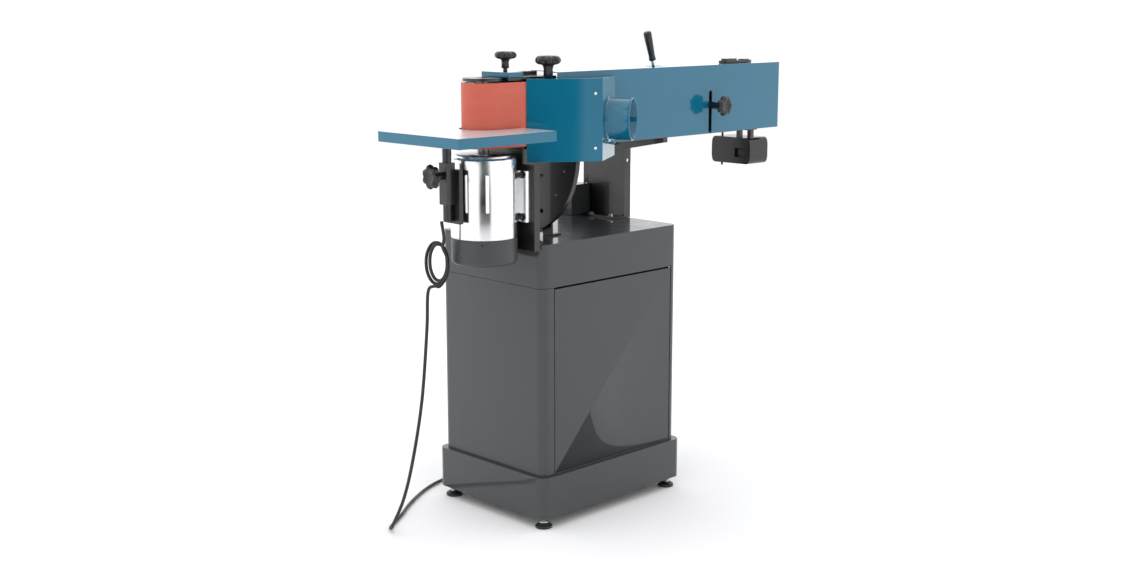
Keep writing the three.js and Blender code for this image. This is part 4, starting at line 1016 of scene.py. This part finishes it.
# ---------- switch box ----------
def make_switch():
    """Moulded switch housing with bulged ends, hung under the cover, with its two buttons."""
    low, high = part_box("switch_box")
    bottom, top = 833 * MM, 905 * MM
    left, right = high.x - 78 * MM, high.x
    near, far = -156.5 * MM, -21.5 * MM
    nose, shoulder, steps = 13 * MM, 24 * MM, 8
    corners = (
        ((far - nose, bottom), (far, bottom), (far, bottom + shoulder)),
        ((far, top - shoulder), (far, top), (far - nose, top)),
        ((near + nose, top), (near, top), (near, top - shoulder)),
        ((near, bottom + shoulder), (near, bottom), (near + nose, bottom)),
    )
    outline = []
    for a, b, c in corners:
        for i in range(steps + 1):
            t = i / steps
            outline.append(tuple(
                (1 - t) ** 2 * a[k] + 2 * t * (1 - t) * b[k] + t * t * c[k] for k in (0, 1)
            ))
    body = prism(outline, left, right)
    body.transform(Matrix(((0, 0, 1, 0), (1, 0, 0, 0), (0, 1, 0, 0), (0, 0, 0, 1))))
    window = block((left - 1 * MM, -139 * MM, 851 * MM), (left + 10 * MM, -103 * MM, 876 * MM))
    pockets = []
    for node in ("start_button", "stop_button"):
        middle = centre(node)
        pocket = rod(11.3 * MM, 15 * MM, MEDIUM)
        pockets.append(placed(pocket, (middle.x, far - 14 * MM, middle.z), (0, 1, 0)))
    body = cut(body, window, *pockets)
    piece("switch_housing", body, "head", "black_plastic", ["switch_box"], 2.2 * MM, 4)
    hanger = high.z
    straps = fuse(
        block((left - 10 * MM, -156 * MM, hanger - 4 * MM), (left + 30 * MM, -50 * MM, hanger)),
        block((left + 2 * MM, -118 * MM, top - 1 * MM), (left + 16 * MM, -106 * MM, hanger - 1 * MM)),
        block((left + 2 * MM, -156 * MM, top - 1 * MM), (left + 16 * MM, -144 * MM, hanger - 1 * MM)),
    )
    piece("switch_hanger", straps, "head", "black_paint", edge=0.8 * MM)
    drop = hanger - low.z
    pin = lathe([(0, 0), (2.4 * MM, 0), (3 * MM, 0.8 * MM), (3 * MM, drop), (0, drop)], SMALL)
    piece("switch_pin", upright_at(pin, (left + 5 * MM, -55 * MM, low.z)), "head", "black_paint")
    rocker = block((left + 6 * MM, -134 * MM, 855 * MM), (left + 9 * MM, -108 * MM, 872 * MM))
    piece("switch_rocker", rocker, "head", "black_rubber", edge=1.2 * MM, segments=3)
    for node, slot in (("start_button", "green_plastic"), ("stop_button", "red_plastic")):
        low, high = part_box(node)
        middle = (low + high) / 2
        reach = high.y - low.y
        cap = lathe([
            (0, 0), (11 * MM, 0), (11 * MM, 8.6 * MM), (10.6 * MM, 9 * MM), (9.2 * MM, 9.1 * MM),
            (9 * MM, reach - 1.4 * MM), (8.4 * MM, reach - 0.4 * MM), (7 * MM, reach),
            (5 * MM, reach - 0.5 * MM), (0, reach - 0.8 * MM),
        ], MEDIUM)
        cap = placed(cap, (middle.x, low.y, middle.z), (0, 1, 0))
        piece(f"{node}_cap", cap, BODY_OF[node], slot, [node], sharp=40)


# ---------- dust hood ----------
def hood_points(low, high):
    """Corners of the hood in plan: start of the bulged wall, its fold, the corner and the end."""
    start = Vector((low.x, low.y + 106 * MM))
    fold = Vector((low.x + 116.6 * MM, low.y + 18 * MM))
    corner = Vector((low.x + 146 * MM, low.y))
    end = Vector((high.x, low.y + 75.3 * MM))
    return start, fold, corner, end


def hood_outline(low, high, inset):
    start, fold, corner, end = hood_points(low, high)
    bulge = Vector((low.x + 53.6 * MM, low.y + 55 * MM))
    steps = 24
    wall = []
    for i in range(steps + 1):
        t = i / steps
        point = start * (1 - t) ** 2 + bulge * 2 * t * (1 - t) + fold * t * t
        along = ((bulge - start) * (1 - t) + (fold - bulge) * t).normalized()
        wall.append(point + Vector((-along.y, along.x)) * inset)
    first = (corner - fold).normalized()
    second = (end - corner).normalized()
    n1, n2 = Vector((-first.y, first.x)), Vector((-second.y, second.x))
    mitre = inset / (1 + n1.dot(n2))
    return [*wall, corner + (n1 + n2) * mitre, end + n2 * inset]


def make_hood():
    low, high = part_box("dust_hood")
    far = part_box("back_cover")[0].x - 1.2 * MM
    outer = hood_outline(low, high, 0)
    inner = hood_outline(low, high, HOOD_SKIN)
    start, fold, corner, end = hood_points(low, high)
    lid = [tuple(p) for p in outer] + [(far, end.y), (far, start.y)]
    skin = [tuple(p) for p in outer] + [tuple(p) for p in reversed(inner)]
    along = (end - corner).normalized()
    out = Vector((along.y, -along.x, 0))
    port_low, port_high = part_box("dust_port")
    port = (corner + end) / 2
    port_z = (port_low.z + port_high.z) / 2
    radius = 50 * MM
    mouth_at = Vector((port.x, port.y, port_z)) - out * 10 * MM
    mouth = placed(rod(radius - HOOD_SKIN, 20 * MM, FINE), mouth_at, out)
    knob = centre("hood_knob")
    hole = upright_at(rod(4.4 * MM, 8 * MM), (knob.x, knob.y, high.z - 5 * MM))
    shell = fuse(
        prism(skin, low.z, high.z), prism(lid, low.z, low.z + HOOD_SKIN),
        prism(lid, high.z - HOOD_SKIN, high.z),
    )
    piece("hood_shell", cut(shell, mouth, hole), "hood", "blue_paint", ["dust_hood"], 0.7 * MM, 3)
    strip = (fold + corner) / 2
    facing = corner - fold
    normal = Vector((facing.y, -facing.x, 0)).normalized()
    for k, z in enumerate((high.z - 35 * MM, low.z + 31 * MM)):
        dome_screw(f"hood_screw_{k + 1}", Vector((strip.x, strip.y, z)) - normal * 0.1 * MM, normal, "hood")
    spigot = turned([
        (48, 0), (56, 0), (56, 2.2), (55.4, 3), (51.6, 3.2), (50.4, 4.2), (50, 6), (50, 54.4),
        (50.5, 55.2), (51.4, 56), (51.8, 57.2), (51.4, 58.4), (50.4, 59.4), (49.4, 60), (48.6, 59.8),
        (48, 59),
    ], 144)
    base = Vector((port.x, port.y, port_z)) + out * 0.3 * MM
    piece("dust_spigot", placed(spigot, base, out), "hood", "blue_paint", ["dust_port"], sharp=40)
    for i in range(4):
        angle = math.radians(45 + 90 * i)
        side = Vector((-out.y, out.x, 0))
        rivet = base + (side * math.cos(angle) + UP * math.sin(angle)) * 53.4 * MM + out * 2.6 * MM
        dome_screw(f"spigot_rivet_{i + 1}", rivet, out, "hood", radius=1.6 * MM)


# ---------- cord ----------
def make_cord():
    """One cord from the motor's side, in hanging turns, down to the floor and back to its plug."""
    middle = spot(-446, -50, 674)
    across = Vector((0.711, -0.703, 0))
    back = Vector((0.703, 0.711, 0))

    def at(u, v, w):
        return middle + across * u * MM + back * v * MM + UP * w * MM

    points = [at(10, -22, 101), at(15, -20, 62)]
    per_turn = 8
    for i in range(20):
        turn = i / per_turn
        angle = 0.35 * math.pi - 2 * math.pi * turn
        points.append(at(
            4 - 5 * turn + (17 + 5 * turn) * math.cos(angle), -16 + 11 * turn,
            4 - 4 * turn + (40 + 6 * turn) * math.sin(angle),
        ))
    points.append(at(-13, 14, -58))
    fall = (
        (-452, -16, 600), (-456, -14, 510), (-475, -14, 342), (-495, 0, 195), (-510, 20, 95),
        (-521, 52, 22), (-500, 85, 6), (-430, 134, 5.5), (-357, 188, 5.5), (-270, 240, 5.5),
        (-193, 270, 5.5), (-130, 275.5, 5.5),
    )
    points += [spot(*p) for p in fall]
    cord = sweep(smooth_curve(points, 10), CORD, 14)
    obj = linked("mains_cord", cord, FINISH["black_rubber"])
    obj.data.shade_smooth()
    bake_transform(obj)
    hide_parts("power_cord", "cord_coil")
    make_plug()


def make_plug():
    """Moulded two-pin plug with a ribbed strain relief, lying on the floor."""
    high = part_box("power_cord")[1]
    y, z = high.y - 19 * MM, 19 * MM
    right = high.x - 18 * MM
    left = right - 30 * MM
    body = block((left, high.y - 38 * MM, 2 * MM), (right, high.y, 36 * MM))
    piece("plug_body", body, "stand", "black_rubber", edge=5 * MM, segments=5)
    ribs = []
    for i in range(6):
        ribs += [(8.4 - 0.35 * i, 3.6 * i), (8.4 - 0.35 * i, 3.6 * i + 2), (6.6 - 0.25 * i, 3.6 * i + 2.4),
                 (6.6 - 0.25 * i, 3.6 * i + 3.2)]
    profile = [(0, -2), (8.4, -2), *ribs, (0, 22)]
    relief = placed(turned(profile), (left + 2 * MM, y, 10.5 * MM), (-1, 0, 0.02))
    piece("plug_relief", relief, "stand", "black_rubber", sharp=30)
    for k, side in enumerate((-9, 9)):
        pin = turned([(0, -2), (2.4, -2), (2.4, 16.4), (1.6, 18), (0, 18)])
        pin = placed(pin, (right, y + side * MM, z), (1, 0, 0))
        piece(f"plug_pin_{k + 1}", pin, "stand", "machined_steel")


# ---------- studio ----------
def make_studio():
    """White studio with a dark gap behind the camera, and a round pale floor."""
    scene = bpy.context.scene
    world = bpy.data.worlds.new("studio")
    scene.world = world
    world.use_nodes = True
    tree = world.node_tree
    tree.nodes.clear()
    direction = tree.nodes.new("ShaderNodeTexCoord").outputs["Generated"]
    gap_azimuth = math.radians(232.5)
    dot = tree.nodes.new("ShaderNodeVectorMath")
    dot.operation = "DOT_PRODUCT"
    dot.inputs[1].default_value = (math.cos(gap_azimuth), math.sin(gap_azimuth), 0)
    tree.links.new(direction, dot.inputs[0])
    gap = tree.nodes.new("ShaderNodeMapRange")
    gap.interpolation_type = "SMOOTHSTEP"
    gap.inputs["From Min"].default_value = math.cos(math.radians(24))
    gap.inputs["From Max"].default_value = math.cos(math.radians(15))
    tree.links.new(dot.outputs["Value"], gap.inputs["Value"])
    tone = tree.nodes.new("ShaderNodeMix")
    tone.data_type = "RGBA"
    tone.inputs["A"].default_value = rgb(1.32, 1.32, 1.33)
    tone.inputs["B"].default_value = rgb(0.03, 0.03, 0.03)
    tree.links.new(gap.outputs["Result"], tone.inputs["Factor"])
    seen = tree.nodes.new("ShaderNodeLightPath").outputs["Is Camera Ray"]
    final = tree.nodes.new("ShaderNodeMix")
    final.data_type = "RGBA"
    final.inputs["B"].default_value = rgb(1, 1, 1)
    tree.links.new(seen, final.inputs["Factor"])
    tree.links.new(tone.outputs["Result"], final.inputs["A"])
    light = tree.nodes.new("ShaderNodeBackground")
    tree.links.new(final.outputs["Result"], light.inputs["Color"])
    out = tree.nodes.new("ShaderNodeOutputWorld")
    tree.links.new(light.outputs["Background"], out.inputs["Surface"])

    shade = Shader("floor_paint")
    tone = shade.mix(shade.noise(3.0, 3.0), rgb(0.93, 0.93, 0.935), rgb(0.91, 0.91, 0.915))
    material = shade.set(Base_Color=tone, Roughness=0.9, Specular_IOR_Level=0.1)
    radius, steps = 8, 128
    bm = bmesh.new()
    bm.faces.new([
        bm.verts.new((
            radius * math.cos(2 * math.pi * i / steps), radius * math.sin(2 * math.pi * i / steps), 0
        ))
        for i in range(steps)
    ])
    linked("studio_floor", bm, material)

    def softbox(name, at, towards, size, power):
        lamp = bpy.data.lights.new(name, "AREA")
        lamp.shape = "RECTANGLE"
        lamp.size, lamp.size_y = size
        lamp.energy = power
        obj = bpy.data.objects.new(name, lamp)
        obj.location = at
        obj.rotation_mode = "QUATERNION"
        obj.rotation_quaternion = (Vector(towards) - Vector(at)).to_track_quat("-Z", "Y")
        scene.collection.objects.link(obj)

    softbox("key_light", (-2.2, 1.0, 3.4), (0, 0, 0.6), (3.0, 3.0), 8)

    lens = bpy.data.cameras.new("camera")
    lens.lens = 46.17
    lens.sensor_width = 36.0
    lens.clip_end = 60
    camera = bpy.data.objects.new("camera", lens)
    camera.location = spot(-2583.7, -2647.1, 1272.9)
    camera.rotation_euler = (math.radians(78.94), 0, math.radians(-44.64))
    scene.collection.objects.link(camera)
    scene.camera = camera
    scene.view_settings.view_transform = "Standard"


make_stand()
make_index_pin()
make_work_table()
make_end_table()
make_knobs()
make_motor()
make_beam()
make_tracking()
make_lever()
make_switch()
make_hood()
make_cord()
make_studio()
